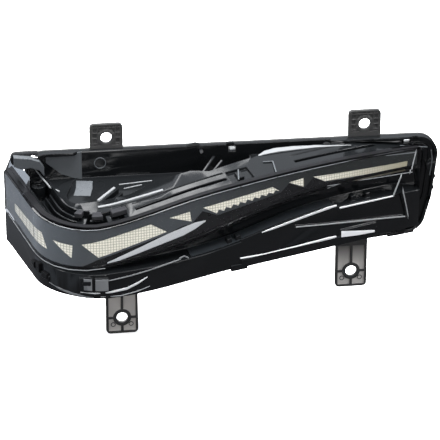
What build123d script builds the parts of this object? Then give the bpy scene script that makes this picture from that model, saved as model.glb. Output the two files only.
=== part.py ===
import os
from math import cos, radians, sin, tan

from build123d import *

os.makedirs("parts", exist_ok=True)

# Millimetres. +X runs along the lamp to its outer end, +Y to the back, +Z up.
# The origin is midway between the two upper mounting holes, on the front of their tabs.

# Mounting tabs
HOLE_SPACING = 237.0
HOLE_D = 10.4
LOWER_LEFT_HOLE = (-107.0, -181.0)
LOWER_RIGHT_HOLE = (109.0, -147.5)
TAB_W = 30.0
TAB_T = 4.0
TAB_END = 13.5
TAB_CORNER_R = 4.0
TAB_ROOT = 40.0
LOWER_TAB_ROOT = 58.0
LOWER_TAB_END = 16.0
LOWER_RECESS = 26.0
TAB_RIM = 2.4
TAB_RECESS = 1.4
TAB_BOSS_D = 17.0
TAB_RIB = 1.2
TAB_RIB_PITCH = 5.2

# Flange, shared by the cover and the housing
FLANGE_LEFT = -193.0
FLANGE_TOP_LEFT = -9.2
FLANGE_TOP_RIGHT = -12.0
FLANGE_BOTTOM = -143.0
FLANGE_R = 18.0
FLANGE_T = 3.2
END_MARGIN = 19.0
EAR_W = 25.0
EAR_H = 12.0
EAR_REACH = 12.5
EAR_R = 5.5
LUG_Z = (-54.0, -65.0)
LUG_R = 3.0
LUG_SINK = 0.8
SLOT_X = (-183.7, -4.6)
SLOT_MARGIN = 31.0
SLOT_W = 6.5
SLOT_H = 5.0
SLOT_INSET = 4.9
SEAL_T = 1.0
SEAL_NEAR = 8.5
SEAL_W = 3.0

# Light bar line in plan: side arm, corner and front arm, all tangent
SIDE_X = -204.2
SIDE_LEN = 52.0
SIDE_BACK = 24.0
SIDE_HEADING = radians(-74.0)
CORNER_R = 58.0
CORNER_TURN = radians(81.0)
ARM_R = 1100.0
ARM_LEN = 307.5

# Height lines in front view, at y = LINE_Y; they rise to the back by LEAN
LINE_Y = -100.0
LEAN = radians(9.5)
VIEW_Y = -140.0
BAR_TOP = [
    (-240, -68), (-190, -52.5), (-130, -49.5), (-55, -35.6),
    (-12, -30.2), (44, -27.5), (100, -29), (210, -44),
]
BAR_BOTTOM = [(-240, -96.5), (-140, -89), (-55, -75.5), (0, -62), (44, -53), (100, -50.5), (210, -61)]
SHELF = [(-240, -98.5), (-140, -93.5), (-55, -90.5), (0, -82.5), (44, -73.5), (100, -71.5), (210, -83)]
WALL_FOOT = [
    (-240, -141), (-195, -120.5), (-165, -116.3), (-130, -117.3), (-95, -116.5),
    (-30, -110), (50, -108), (125, -110.5), (210, -118),
]
LIGHT_TOP = [
    (-240, -86), (-190, -70), (-98, -62.5), (-55, -44),
    (0, -36.5), (44, -34), (100, -35.5), (210, -50.5),
]
CAVITY_TOP = [
    (-240, -88), (-190, -74), (-98, -65), (-20, -62.5),
    (14, -60), (60, -43), (100, -38.5), (210, -53),
]

# Light bar
BAR_DEPTH = 8.0
LENS_WALL = 3.0
LENS_RETURN = 2.5
MASK_GAP = 0.3
OPTIC_GAP = 0.2
HORN_RISE = 14.0
HORN_REACH = 8.0
HORN_START = -28.0
HORN_LAP = 0.5
BEZEL_STEP = 1.3

# Cover
COVER_WALL = 3.0
COVER_DROP = 1.0
GROOVE_DEPTH = 16.0
TRENCH_NEAR = 11.0
TRENCH_FAR = 27.0
TRENCH_DEPTH = 14.0
TRENCH_STOP = 100.0
TRENCH_RIB = 1.6
TRENCH_RIBS = [(15.0, 7.0), (19.0, 9.0), (23.0, 11.0)]
TRENCH_RIB_START = -20.0
TRENCH_WALL = 2.2
TRENCH_WALL_RISE = 2.5
TRENCH_WALL_SPAN = (-50.0, 62.0)
CLIP_SPANS = [(48.0, 60.0, 12.5, 24.0), (64.0, 82.0, 18.5, 21.5), (85.0, 96.0, 12.5, 24.0)]
CLIP_DROP = 2.0
BOSS_AT = (-36.0, 19.0)
BOSS_D = 13.0
BOSS_BORE = 5.0
POCKET = [
    (14, 0), (-141, 0), (-150, -9), (-158, -30), (-157, -46),
    (-104, -44), (-72, -33), (-46, -30), (-30, -36), (8, -24),
]
POCKET_R = 10.0
POCKET_BACK_Z = -36.0
POCKET_FRONT_Z = -50.0
POCKET_FRONT_Y = -46.0
CHANNEL = [(232.0, 40.0), (257.0, 46.0), (282.0, 40.5), (312.0, 33.5)]
CHANNEL_DEPTH = 9.0
RIDGE_GROOVES = [(17.0, 20.5, 3.5), (28.0, 29.6, 1.2)]
GROOVE_START = 112.0
GROOVE_STOP = 198.0
OUTER_GROOVE_START = 266.0
OUTER_GROOVE_MARGIN = 39.5
SNAP_START = 201.0
SNAP_STOP = 222.0
SNAP_NEAR = 10.5
SNAP_FAR = 29.0
SNAP_DEPTH = 2.5
SNAP_HOOK = (208.0, 214.0, 14.0, 24.0)
SNAP_HOOK_RISE = 0.8
STRUTS = [
    ((-131.6, -48.5), (-111.7, -29.9)),
    ((-125.1, -54.8), (-108.9, -37.7)),
    ((-40.2, -43.1), (-22.4, -13.0)),
    ((-32.4, -45.5), (-16.3, -21.4)),
]
STRUT_T = 2.4
STRUT_DEPTH = 18.0
RING_AT = (-125.0, -22.3)
RING_D = 10.0
RING_W = 1.0
RING_RISE = 0.8
FRAME_LINES = [7.0, 12.0]
FRAME_W = 1.4
FRAME_RISE = 2.0
FRAME_LEN = 38.0
FRAME_FOOT = -76.0
WEDGE = [(45, -76), (100, -73.8), (150, -75.8), (156, -100), (45, -80.5)]
WEDGE_DEPTH = 2.5
LIP_START = 205.0
LIP_MARGIN = 46.5
LIP_RISE = 8.0
LIP_REACH = 1.5
WALL_BLOCKS = [(-4.0, 25.0, 8.0, 13.0), (56.0, 67.0, 8.5, 20.0), (69.5, 81.0, 8.5, 20.0)]
OUTER_BLOCK_MARGIN = 85.5
OUTER_BLOCK_LEN = 38.0
OUTER_BLOCK_RISE = 14.5
BLOCK_REACH = 1.8
BEAD_START = 205.0
BEAD_STOP = 300.0
BEAD_W = 2.0
BEAD_RISE = 2.2
INNER_HOOK = (193.0, 206.0)
OUTER_HOOK_MARGIN = 72.5
OUTER_HOOK_LEN = 20.0
HOOK_W = 4.5
HOOK_NEAR = 3.0
HOOK_FAR = 9.0
HOOK_RISE = 5.0
SEAT_GAP = 0.3
CUT_SPARE = 4.0
LAP = 1.0
SKIRT_STEP = 0.5
LIGHT_BOX_START = -38.0
LIGHT_BOX_END = 4.0
LIGHT_BOX_FAR = 30.0
RIM_W = 3.0
RIM_RISE = 4.0

# Rear housing
PAN_INSET = 11.0
PAN_DEPTH = 34.0
PAN_WALL = 2.8
PAN_DRAFT = 6.0
PAN_EDGE_R = 7.0
RIB_T = 2.0
RIB_RISE = 3.0
RIB_LEN = 44.0
RIB_Z = -64.0
RIB_X = (-154.0, -140.0, -126.0, 6.0, 22.0, 106.0, 154.0)

# Cover screws
SCREW_D = 3.0
SCREW_HEAD_D = 6.4
SCREW_HEAD_H = 2.4
SCREW_CLEAR = 0.3
SCREW_LEN = 9.0
SCREW_TIP = 1.0
SCREW_BOSS_D = 9.0
SCREW_INSET = 5.0

# Driver on the housing's back
DRIVER_AT = (-60.0, -72.0)
DRIVER_W = 92.0
DRIVER_H = 58.0
DRIVER_T = 4.0
DRIVER_OPEN_W = 68.0
DRIVER_OPEN_H = 38.0
DRIVER_R = 5.0
FIN_COUNT = 11
FIN_T = 1.8
FIN_RISE = 11.0
GASKET_T = 1.2
BOARD_T = 1.6
POST_D = 5.0
POST_LEN = 6.0
COIL_W = 13.0
COIL_RISE = 8.0
CAN_D = 8.0
CAN_RISE = 10.0
DRIVER_SCREW_INSET = 6.0
BOARD_MARGIN = 3.0

# Connector on the housing's back
SOCKET_AT = (70.0, -66.0)
SOCKET_W = 32.0
SOCKET_H = 18.0
SOCKET_WALL = 2.0
SOCKET_DEPTH = 20.0
SOCKET_FLANGE = 4.0
SOCKET_FLANGE_T = 2.4
SOCKET_PLUG = 4.0
SOCKET_R = 3.5
PIN_D = 1.6
PIN_PITCH = 5.0
PIN_COLUMNS = 4
PIN_ROWS = 2
PIN_TAIL = 4.0
PIN_REACH = 12.0
FIT = 0.2

# Breather vent on the housing's back
VENT_AT = (130.0, -60.0)
VENT_BORE = 5.0
VENT_STUB_D = 9.0
VENT_STUB_LEN = 7.0
VENT_WALL = 1.6

# Light groups behind the bar
REFLECTOR_DEPTH = 10.0
REFLECTOR_WALL = 1.4
REFLECTOR_END = 5.0
SPREADER_T = 1.5
LED_W = 3.0
LED_H = 1.0
BOARD_SCREW_D = 2.0
BOARD_SCREW_HEAD_D = 3.6
BOARD_SCREW_HEAD_H = 1.4

CORNER_LEN = CORNER_R * CORNER_TURN
ARM_HEADING = SIDE_HEADING + CORNER_TURN
BAR_END = CORNER_LEN + ARM_LEN
BAR_START = -SIDE_LEN - SIDE_BACK
PLATE_REAR = -SEAL_T
PLATE_FRONT = PLATE_REAR - COVER_WALL
LEAN_DIR = Vector(0, cos(LEAN), sin(LEAN))
TALL = 2 * (FLANGE_TOP_LEFT - FLANGE_BOTTOM)

# Light groups: first and last place along the bar, and the LED count
GROUPS = {
    "side": (-34.0, 17.0, 4),
    "corner": (27.0, 54.0, 3),
    "front": (58.0, 161.0, 8),
    "middle": (167.0, 269.0, 8),
    "outer": (275.0, BAR_END - 49.5, 5),
}

# Windows in the mask, and the top edge of the lower bezel: place along the bar and share of its height
TOOTH_START = 182.6
TOOTH_PITCH = 6.8
TOOTH_COUNT = 9
TOOTH_LOW = 0.445
TOOTH_HIGH = 0.53
WINDOWS = {
    "side": [(-51.0, 0.51), (12.5, 0.61), (19.5, 0.28), (-51.0, 0.30)],
    "corner": [(28.5, 0.58), (48.6, 0.57), (47.4, 0.25)],
    "front": [(59.0, 0.61), (121.0, 0.735), (136.0, 0.42), (73.5, 0.27)],
    "front_small": [(138.0, 0.74), (157.4, 0.73), (159.0, 0.47)],
    "middle": [(169.5, 0.72), (236.0, 0.685)],
    "middle_small": [(252.0, 0.66), (267.0, 0.69), (267.3, 0.33)],
    "outer": [(276.3, 0.65), (BAR_END - 13.2, 0.505), (BAR_END - 13.9, 0.21), (288.7, 0.335)],
}
for tooth in reversed(range(TOOTH_COUNT)):
    WINDOWS["middle"].append((TOOTH_START + (tooth + 1) * TOOTH_PITCH, TOOTH_LOW))
    WINDOWS["middle"].append((TOOTH_START + (tooth + 0.3) * TOOTH_PITCH, TOOTH_HIGH))
WINDOWS["middle"].append((TOOTH_START, TOOTH_LOW))
BEZEL = [
    (55.0, -0.1), (55.0, 0.02), (73.0, 0.22), (136.0, 0.37), (150.0, 0.44), (159.5, 0.43),
    (169.0, 0.64), (183.0, 0.40), (244.5, 0.40), (252.0, 0.62), (267.5, 0.29), (276.0, 0.62),
    (289.0, 0.29), (BAR_END - 13.0, 0.17), (BAR_END + 6.0, 0.15), (BAR_END + 6.0, -0.1),
]


def run(heading):
    return Vector(cos(heading), sin(heading))


def inward(heading):
    return Vector(-sin(heading), cos(heading))


SIDE_END = Vector(SIDE_X, 0) + run(SIDE_HEADING) * SIDE_LEN
CORNER_CENTRE = SIDE_END + inward(SIDE_HEADING) * CORNER_R
ARM_START = CORNER_CENTRE - inward(ARM_HEADING) * CORNER_R
ARM_CENTRE = ARM_START + inward(ARM_HEADING) * ARM_R


def heading_at(along):
    """Direction of the bar line, measured from the start of the corner."""
    if along <= 0:
        return SIDE_HEADING
    if along <= CORNER_LEN:
        return SIDE_HEADING + along / CORNER_R
    return ARM_HEADING + (along - CORNER_LEN) / ARM_R


def place(along, inset=0.0):
    """Plan point on the bar line, moved inwards by inset."""
    heading = heading_at(along)
    if along <= 0:
        return SIDE_END + run(heading) * along + inward(heading) * inset
    if along <= CORNER_LEN:
        return CORNER_CENTRE - inward(heading) * (CORNER_R - inset)
    return ARM_CENTRE - inward(heading) * (ARM_R - inset)


FLANGE_RIGHT = place(BAR_END).X + END_MARGIN
FLANGE = [
    (FLANGE_LEFT, FLANGE_TOP_LEFT),
    (FLANGE_RIGHT, FLANGE_TOP_RIGHT),
    (FLANGE_RIGHT - 6.5, -72),
    (FLANGE_RIGHT - 15.5, -106),
    (110, -113),
    (-20, -135),
    (-90, FLANGE_BOTTOM),
    (-160, FLANGE_BOTTOM),
    (FLANGE_LEFT, -116),
]


def edge_spot(index, share):
    """Spot at a share of a flange edge, moved inwards by the screw inset."""
    (x0, z0), (x1, z1) = FLANGE[index], FLANGE[(index + 1) % len(FLANGE)]
    along = Vector(x1 - x0, z1 - z0).normalized()
    return (
        x0 + (x1 - x0) * share + along.Y * SCREW_INSET,
        z0 + (z1 - z0) * share - along.X * SCREW_INSET,
    )


SCREW_SPOTS = [
    edge_spot(0, 0.42),
    edge_spot(0, 0.72),
    edge_spot(1, 0.5),
    edge_spot(3, 0.3),
    edge_spot(4, 0.4),
    edge_spot(5, 0.5),
    edge_spot(8, 0.5),
]


def moved(line, rise):
    """A height line, raised by rise."""
    return [(x, z + rise) for x, z in line]


def halfway(line_a, line_b):
    """A height line midway between two."""
    return [(x, (z + height_at(line_b, x)) / 2) for x, z in line_a]


def height_at(line, x):
    """Height of a line at x, on its reference plane."""
    for (x0, z0), (x1, z1) in zip(line, line[1:]):
        if x0 <= x <= x1:
            return z0 + (z1 - z0) * (x - x0) / (x1 - x0)
    return line[-1][1]


def true_height(line, point):
    """Height of a line above a plan point, with the rise to the back."""
    return height_at(line, point.X) + (point.Y - LINE_Y) * tan(LEAN)


def bar_edges(inset, start, stop):
    """Edges of the bar line between two places along it, moved inwards."""
    if start < 0:
        Line(place(start, inset), place(min(stop, 0), inset))
    for first, last in ((0, CORNER_LEN), (CORNER_LEN, BAR_END)):
        a = max(start, first)
        b = min(stop, last)
        if a < b:
            ThreePointArc(place(a, inset), place((a + b) / 2, inset), place(b, inset))


def bar_plan(near, far, start=BAR_START, stop=BAR_END):
    """Plan strip along the bar, between two insets."""
    with BuildSketch(Plane.XY) as plan:
        with BuildLine():
            bar_edges(near, start, stop)
            bar_edges(far, start, stop)
            Line(place(start, near), place(start, far))
            Line(place(stop, near), place(stop, far))
        make_face()
    return plan.sketch


def behind_plan(inset, rear):
    """Plan area between the bar line, moved inwards, and a plane behind it."""
    with BuildSketch(Plane.XY) as plan:
        with BuildLine():
            bar_edges(inset, -SIDE_LEN, BAR_END)
            first = place(-SIDE_LEN, inset)
            last = place(BAR_END, inset)
            Polyline(last, (last.X, rear), (first.X, rear), first)
        make_face()
    return plan.sketch


def slab(plan, top, bottom, rear):
    """Plan area between two height lines, cut off at a rear plane."""
    drop = (LINE_Y - VIEW_Y) * tan(LEAN)
    with BuildSketch(Plane.XZ.offset(-VIEW_Y)) as view:
        with BuildLine():
            upper = Spline(*moved(top, -drop))
            lower = Spline(*moved(bottom, -drop))
            Line(upper @ 0, lower @ 0)
            Line(upper @ 1, lower @ 1)
        make_face()
    with BuildPart() as body:
        extrude(plan, amount=TALL, both=True)
        extrude(view.sketch, amount=(rear - VIEW_Y) / cos(LEAN), dir=LEAN_DIR, mode=Mode.INTERSECT)
    return body.part


def bar_plane(along, inset, height):
    """Plane on the bar, its normal pointing out of the lamp and its y axis up."""
    spot = place(along, inset)
    heading = heading_at(along)
    out = -inward(heading)
    return Plane((spot.X, spot.Y, height), x_dir=run(heading), z_dir=out)


def flange_area(inset, y):
    """Front-view area inside the flange outline, at depth y."""
    with BuildSketch(Plane.XZ.offset(-y)) as area:
        with BuildLine():
            Polyline(*FLANGE, close=True)
        make_face()
        fillet(area.vertices(), FLANGE_R)
        if inset:
            offset(amount=-inset, mode=Mode.REPLACE)
    return area.sketch


def bar_prism(corners, clearance, reach):
    """Prism through the bar over an outline on its face, drawn in by a clearance."""
    middle = (corners[0][0] + corners[len(corners) // 2][0]) / 2
    centre = place(middle)
    frame = bar_plane(middle, 0, true_height(BAR_BOTTOM, centre))
    points = []
    for along, share in corners:
        spot = place(along)
        low = true_height(BAR_BOTTOM, spot)
        high = true_height(BAR_TOP, spot)
        local = frame.to_local_coords(Vector(spot.X, spot.Y, low + share * (high - low)))
        points.append((local.X, local.Y))
    with BuildPart() as prism:
        with BuildSketch(frame) as outline:
            with BuildLine():
                Polyline(*points, close=True)
            make_face()
            if clearance:
                offset(amount=-clearance, kind=Kind.INTERSECTION, mode=Mode.REPLACE)
        extrude(amount=reach, both=True)
    return prism.part


def bar_height(along, inset, lower, upper):
    """Height midway between two height lines at a place on the bar."""
    spot = place(along, inset)
    return (true_height(lower, spot) + true_height(upper, spot)) / 2


def keep(piece, name):
    piece.label = name
    export_step(piece, f"parts/{name}.step")


def strip(near, far, start, stop, top, bottom, rear=PLATE_FRONT):
    """Strip along the bar between two insets and two height lines."""
    return slab(bar_plan(near, far, start, stop), top, bottom, rear)


def beam_plan(first, last, width):
    """Plan of a straight beam between two points."""
    a = Vector(*first)
    b = Vector(*last)
    side = (b - a).normalized().rotate(Axis.Z, 90) * (width / 2)
    with BuildSketch(Plane.XY) as plan:
        with BuildLine():
            Polyline(a + side, b + side, b - side, a - side, close=True)
        make_face()
    return plan.sketch


def area_plan(points):
    """Plan area inside a closed outline."""
    with BuildSketch(Plane.XY) as plan:
        with BuildLine():
            Polyline(*points, close=True)
        make_face()
    return plan.sketch


def top_spot(along, inset, rise):
    """Point above the bar's top edge."""
    spot = place(along, inset)
    return Vector(spot.X, spot.Y, true_height(BAR_TOP, spot) + rise)


def slot_spot(x):
    """Spot of a flange slot, below the sloping top edge."""
    share = (x - FLANGE_LEFT) / (FLANGE_RIGHT - FLANGE_LEFT)
    return (x, FLANGE_TOP_LEFT + share * (FLANGE_TOP_RIGHT - FLANGE_TOP_LEFT) - SLOT_INSET)


def ear_area(y):
    """Front-view area of the flange's upper left ear, at depth y."""
    with BuildSketch(Plane.XZ.offset(-y)) as area:
        with Locations((FLANGE_LEFT - EAR_REACH + EAR_W / 2, FLANGE_TOP_LEFT - EAR_H / 2)):
            Rectangle(EAR_W, EAR_H)
        fillet(area.vertices().group_by(Axis.X)[0], EAR_R)
    return area.sketch


def lug_spot(z):
    """Spot of a lug on the flange's right edge."""
    (x0, z0), (x1, z1) = FLANGE[1], FLANGE[2]
    return (x0 + (x1 - x0) * (z - z0) / (z1 - z0) - LUG_SINK, z)


LUG_SPOTS = [lug_spot(z) for z in LUG_Z]
SLOT_SPOTS = [slot_spot(x) for x in (*SLOT_X, FLANGE_RIGHT - SLOT_MARGIN)]
OUTER_HOOK = BAR_END - OUTER_HOOK_MARGIN

# Front cover: the bodies that shape it
ABOVE = moved(BAR_TOP, HORN_RISE + CUT_SPARE)
RIDGE_TOP = moved(BAR_TOP, -COVER_DROP)
TRENCH_FLOOR = moved(BAR_TOP, -TRENCH_DEPTH)
cover_core = slab(behind_plan(0, SIDE_BACK), RIDGE_TOP, WALL_FOOT, PLATE_REAR - COVER_WALL / 2)
side_skirt = strip(
    0,
    COVER_WALL,
    BAR_START,
    -SIDE_LEN / 2,
    moved(SHELF, -SKIRT_STEP),
    moved(WALL_FOOT, SKIRT_STEP),
    2 * SIDE_BACK,
)
lower_lip = strip(
    -LIP_REACH, COVER_WALL, LIP_START, BAR_END - LIP_MARGIN, moved(WALL_FOOT, LIP_RISE), WALL_FOOT
)
shelf_groove = strip(-GROOVE_DEPTH, GROOVE_DEPTH, -SIDE_LEN, BAR_END, BAR_BOTTOM, SHELF)
bar_seat = strip(
    -GROOVE_DEPTH,
    BAR_DEPTH + SEAT_GAP,
    BAR_START,
    BAR_END,
    ABOVE,
    halfway(SHELF, BAR_BOTTOM),
    2 * SIDE_BACK,
)
trench = strip(TRENCH_NEAR, TRENCH_FAR, BAR_START, TRENCH_STOP, ABOVE, TRENCH_FLOOR)
light_box = strip(
    BAR_DEPTH / 2,
    LIGHT_BOX_FAR,
    LIGHT_BOX_START,
    BAR_END - LIGHT_BOX_END,
    LIGHT_TOP,
    moved(BAR_BOTTOM, COVER_WALL),
    PLATE_FRONT - COVER_WALL,
)
cavity = slab(
    behind_plan(GROOVE_DEPTH + COVER_WALL, SIDE_BACK), CAVITY_TOP, moved(WALL_FOOT, COVER_WALL), SIDE_BACK
)
channel_edge = [place(along, inset) for along, inset in CHANNEL]
channel_rear = [(channel_edge[-1].X, PLATE_FRONT), (channel_edge[0].X, PLATE_FRONT)]
rear_channel = slab(
    area_plan(channel_edge + channel_rear), ABOVE, moved(RIDGE_TOP, -CHANNEL_DEPTH), PLATE_FRONT
)
snap_recess = strip(SNAP_NEAR, SNAP_FAR, SNAP_START, SNAP_STOP, ABOVE, moved(RIDGE_TOP, -SNAP_DEPTH))
ridge_grooves = [
    strip(near, far, start, stop, ABOVE, moved(RIDGE_TOP, -deep))
    for near, far, deep in RIDGE_GROOVES
    for start, stop in (
        (GROOVE_START, GROOVE_STOP),
        (OUTER_GROOVE_START, BAR_END - OUTER_GROOVE_MARGIN),
    )
]
trench_ribs = [
    strip(
        inset,
        inset + TRENCH_RIB,
        TRENCH_RIB_START,
        CLIP_SPANS[0][0],
        moved(TRENCH_FLOOR, rise),
        moved(TRENCH_FLOOR, -LAP),
    )
    for inset, rise in TRENCH_RIBS
]
trench_wall = strip(
    TRENCH_FAR,
    TRENCH_FAR + TRENCH_WALL,
    *TRENCH_WALL_SPAN,
    moved(RIDGE_TOP, TRENCH_WALL_RISE),
    TRENCH_FLOOR,
)
clip_posts = [
    strip(near, far, start, stop, moved(RIDGE_TOP, -CLIP_DROP), moved(TRENCH_FLOOR, -LAP))
    for start, stop, near, far in CLIP_SPANS
]
hook_start, hook_stop, hook_near, hook_far = SNAP_HOOK
snap_hook = strip(
    hook_near,
    hook_far,
    hook_start,
    hook_stop,
    moved(RIDGE_TOP, SNAP_HOOK_RISE),
    moved(RIDGE_TOP, -2 * SNAP_DEPTH),
)
struts = [
    slab(beam_plan(first, last, STRUT_T), RIDGE_TOP, moved(RIDGE_TOP, -STRUT_DEPTH), PLATE_FRONT)
    for first, last in STRUTS
]
shelf_hooks = [
    strip(HOOK_NEAR, HOOK_FAR, start, start + HOOK_W, moved(SHELF, HOOK_RISE), moved(SHELF, -LAP))
    for first, last in (INNER_HOOK, (OUTER_HOOK, OUTER_HOOK + OUTER_HOOK_LEN))
    for start in (first, last - HOOK_W)
]
block_top = moved(WALL_FOOT, OUTER_BLOCK_RISE)
block_start = BAR_END - OUTER_BLOCK_MARGIN
block_stop = block_start + OUTER_BLOCK_LEN
outer_block = strip(
    -BLOCK_REACH, COVER_WALL, block_start, block_stop, block_top, moved(WALL_FOOT, LIP_RISE - LAP)
)
wall_blocks = [
    strip(-BLOCK_REACH, COVER_WALL, start, stop, moved(WALL_FOOT, high), moved(WALL_FOOT, low))
    for start, stop, low, high in WALL_BLOCKS
]
shelf_bead = strip(0, BEAD_W, BEAD_START, BEAD_STOP, moved(SHELF, BEAD_RISE), moved(SHELF, -LAP))
with BuildPart() as trim_pocket:
    extrude(area_plan(POCKET), amount=TALL, both=True)
    fillet(trim_pocket.edges().filter_by(Axis.Z).sort_by(Axis.Y)[0], POCKET_R)
    with BuildSketch(Plane.YZ):
        with BuildLine():
            Polyline(
                (PLATE_FRONT, POCKET_BACK_Z),
                (POCKET_FRONT_Y, POCKET_FRONT_Z),
                (2 * POCKET_FRONT_Y, POCKET_FRONT_Z),
                (2 * POCKET_FRONT_Y, -POCKET_BACK_Z),
                (PLATE_FRONT, -POCKET_BACK_Z),
                close=True,
            )
        make_face()
    extrude(amount=TALL, both=True, mode=Mode.INTERSECT)
with BuildPart() as wedge_panel:
    with BuildSketch(Plane.XZ.offset(-LINE_Y)):
        with BuildLine():
            Polyline(*WEDGE, close=True)
        make_face()
    extrude(amount=TALL, dir=LEAN_DIR, both=True)
    extrude(bar_plan(-GROOVE_DEPTH, WEDGE_DEPTH), amount=TALL, both=True, mode=Mode.INTERSECT)
boss_spot = place(*BOSS_AT)
with BuildPart() as trench_boss:
    boss_top = true_height(RIDGE_TOP, boss_spot)
    with BuildSketch(Plane.XY.offset(boss_top)):
        with Locations(boss_spot):
            Circle(BOSS_D / 2)
            Circle(BOSS_BORE / 2, mode=Mode.SUBTRACT)
    extrude(amount=-TRENCH_DEPTH)
plate_area = flange_area(0, PLATE_REAR)
rim_area = flange_area(0, PLATE_FRONT) - flange_area(RIM_W, PLATE_FRONT)
ear_face = ear_area(PLATE_REAR)
frame_areas = [
    flange_area(inset, PLATE_FRONT) - flange_area(inset + FRAME_W, PLATE_FRONT) for inset in FRAME_LINES
]
with BuildPart() as end_frame:
    for area in frame_areas:
        extrude(area, amount=FRAME_RISE)
    with BuildSketch(Plane.XZ.offset(-PLATE_FRONT)):
        with Locations((FLANGE_RIGHT - FRAME_LEN / 2, FRAME_FOOT / 2)):
            Rectangle(FRAME_LEN, -FRAME_FOOT)
    extrude(amount=FRAME_RISE, mode=Mode.INTERSECT)

with BuildPart() as front_cover:
    add(cover_core)
    extrude(plate_area, amount=COVER_WALL)
    extrude(ear_face, amount=COVER_WALL)
    with BuildSketch(Plane.XZ.offset(-PLATE_REAR)):
        with Locations(*LUG_SPOTS):
            Circle(LUG_R)
    extrude(amount=COVER_WALL)
    extrude(rim_area, amount=RIM_RISE)
    add(end_frame.part)
    with BuildSketch(Plane.XZ.offset(-PLATE_FRONT)):
        with Locations(*SCREW_SPOTS):
            Circle(SCREW_BOSS_D / 2)
    extrude(amount=SCREW_LEN - COVER_WALL)
    with BuildSketch(Plane.XZ.offset(-PLATE_FRONT)):
        with Locations(RING_AT):
            Circle(RING_D / 2)
            Circle(RING_D / 2 - RING_W, mode=Mode.SUBTRACT)
    extrude(amount=RING_RISE)
    add(side_skirt)
    add(lower_lip)
    for tool in [shelf_groove, bar_seat, trench, trim_pocket.part, rear_channel, wedge_panel.part]:
        add(tool, mode=Mode.SUBTRACT)
    for tool in [snap_recess] + ridge_grooves:
        add(tool, mode=Mode.SUBTRACT)
    for piece in trench_ribs + clip_posts + struts + shelf_hooks + wall_blocks:
        add(piece)
    for piece in (trench_wall, snap_hook, trench_boss.part, shelf_bead, outer_block):
        add(piece)
    for tool in (light_box, cavity):
        add(tool, mode=Mode.SUBTRACT)
    with BuildSketch(Plane.XZ.offset(-PLATE_REAR)):
        with Locations(*SCREW_SPOTS):
            Circle(SCREW_D / 2 + FIT / 2)
    extrude(amount=SCREW_LEN - SCREW_TIP, mode=Mode.SUBTRACT)
    with BuildSketch(Plane.XZ.offset(-PLATE_REAR)):
        with Locations(*SLOT_SPOTS):
            Rectangle(SLOT_W, SLOT_H)
    extrude(amount=COVER_WALL + RIM_RISE, mode=Mode.SUBTRACT)
keep(front_cover.part, "front_cover")

# Light bar: lens, mask, lower bezel and the seven light windows
lens_body = strip(0, BAR_DEPTH, BAR_START, BAR_END, BAR_TOP, BAR_BOTTOM, 2 * SIDE_BACK)
lens_hollow = strip(
    LENS_WALL,
    BAR_DEPTH + LAP,
    BAR_START + LENS_RETURN,
    BAR_END - LENS_RETURN,
    moved(BAR_TOP, -LENS_RETURN),
    moved(BAR_BOTTOM, LENS_RETURN),
    2 * SIDE_BACK,
)
horn_block = strip(
    0,
    HORN_REACH,
    BAR_START,
    HORN_START,
    moved(BAR_TOP, HORN_RISE),
    moved(BAR_TOP, -HORN_LAP),
    2 * SIDE_BACK,
)
horn_foot = top_spot(BAR_START, 0, 0)
horn_edge = top_spot(HORN_START, 0, 0) - horn_foot
horn_slope = top_spot(BAR_START, HORN_REACH, HORN_RISE) - horn_foot
with BuildPart() as horn:
    add(horn_block)
    with BuildSketch(Plane(horn_foot, x_dir=horn_edge, z_dir=horn_edge.cross(horn_slope))):
        Rectangle(TALL, TALL)
    extrude(amount=TALL, mode=Mode.SUBTRACT)
with BuildPart() as light_bar_lens:
    add(lens_body)
    add(horn.part)
    add(lens_hollow, mode=Mode.SUBTRACT)
keep(light_bar_lens.part, "light_bar_lens")

edge = LENS_RETURN + MASK_GAP
mask_near = LENS_WALL + MASK_GAP


def bar_filling(near):
    """What fills the lens from an inset back, clear of the lens all round."""
    return strip(
        near,
        BAR_DEPTH,
        BAR_START + edge,
        BAR_END - edge,
        moved(BAR_TOP, -edge),
        moved(BAR_BOTTOM, edge),
        2 * SIDE_BACK,
    )


mask_body = bar_filling(mask_near)
bezel_body = bar_filling(mask_near + BEZEL_STEP)
window_reach = 3 * BAR_DEPTH
bezel_reach = 10 * BAR_DEPTH
window_holes = [bar_prism(corners, 0, window_reach) for corners in WINDOWS.values()]
bezel_hole = bar_prism(BEZEL, 0, bezel_reach)
bezel_prism = bar_prism(BEZEL, OPTIC_GAP, bezel_reach)
with BuildPart() as bar_mask:
    add(mask_body)
    for hole in window_holes + [bezel_hole]:
        add(hole, mode=Mode.SUBTRACT)
keep(bar_mask.part, "bar_mask")
with BuildPart() as lower_bezel:
    add(bezel_body)
    add(bezel_prism, mode=Mode.INTERSECT)
keep(lower_bezel.part, "lower_bezel")
for name, corners in WINDOWS.items():
    plug = bar_prism(corners, OPTIC_GAP, window_reach)
    with BuildPart() as optic:
        add(mask_body)
        add(plug, mode=Mode.INTERSECT)
    keep(optic.part, f"optic_{name}")

# Light groups: reflector tray, LED board, LEDs and heat spreader along the bar
REFLECTOR_NEAR = BAR_DEPTH + SEAT_GAP
REFLECTOR_FAR = REFLECTOR_NEAR + REFLECTOR_DEPTH
BOARD_NEAR = REFLECTOR_FAR + FIT
SPREADER_NEAR = BOARD_NEAR + BOARD_T + FIT
SPREADER_FAR = SPREADER_NEAR + SPREADER_T
TRAY_TOP = moved(LIGHT_TOP, -SEAT_GAP)
TRAY_FOOT = moved(BAR_BOTTOM, COVER_WALL + SEAT_GAP)


def group_strip(near, far, start, stop, margin):
    """Strip along the bar inside the light box, held in by a margin above and below."""
    return slab(
        bar_plan(near, far, start, stop),
        moved(TRAY_TOP, -margin),
        moved(TRAY_FOOT, margin),
        PLATE_FRONT - COVER_WALL - SEAT_GAP,
    )


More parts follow.
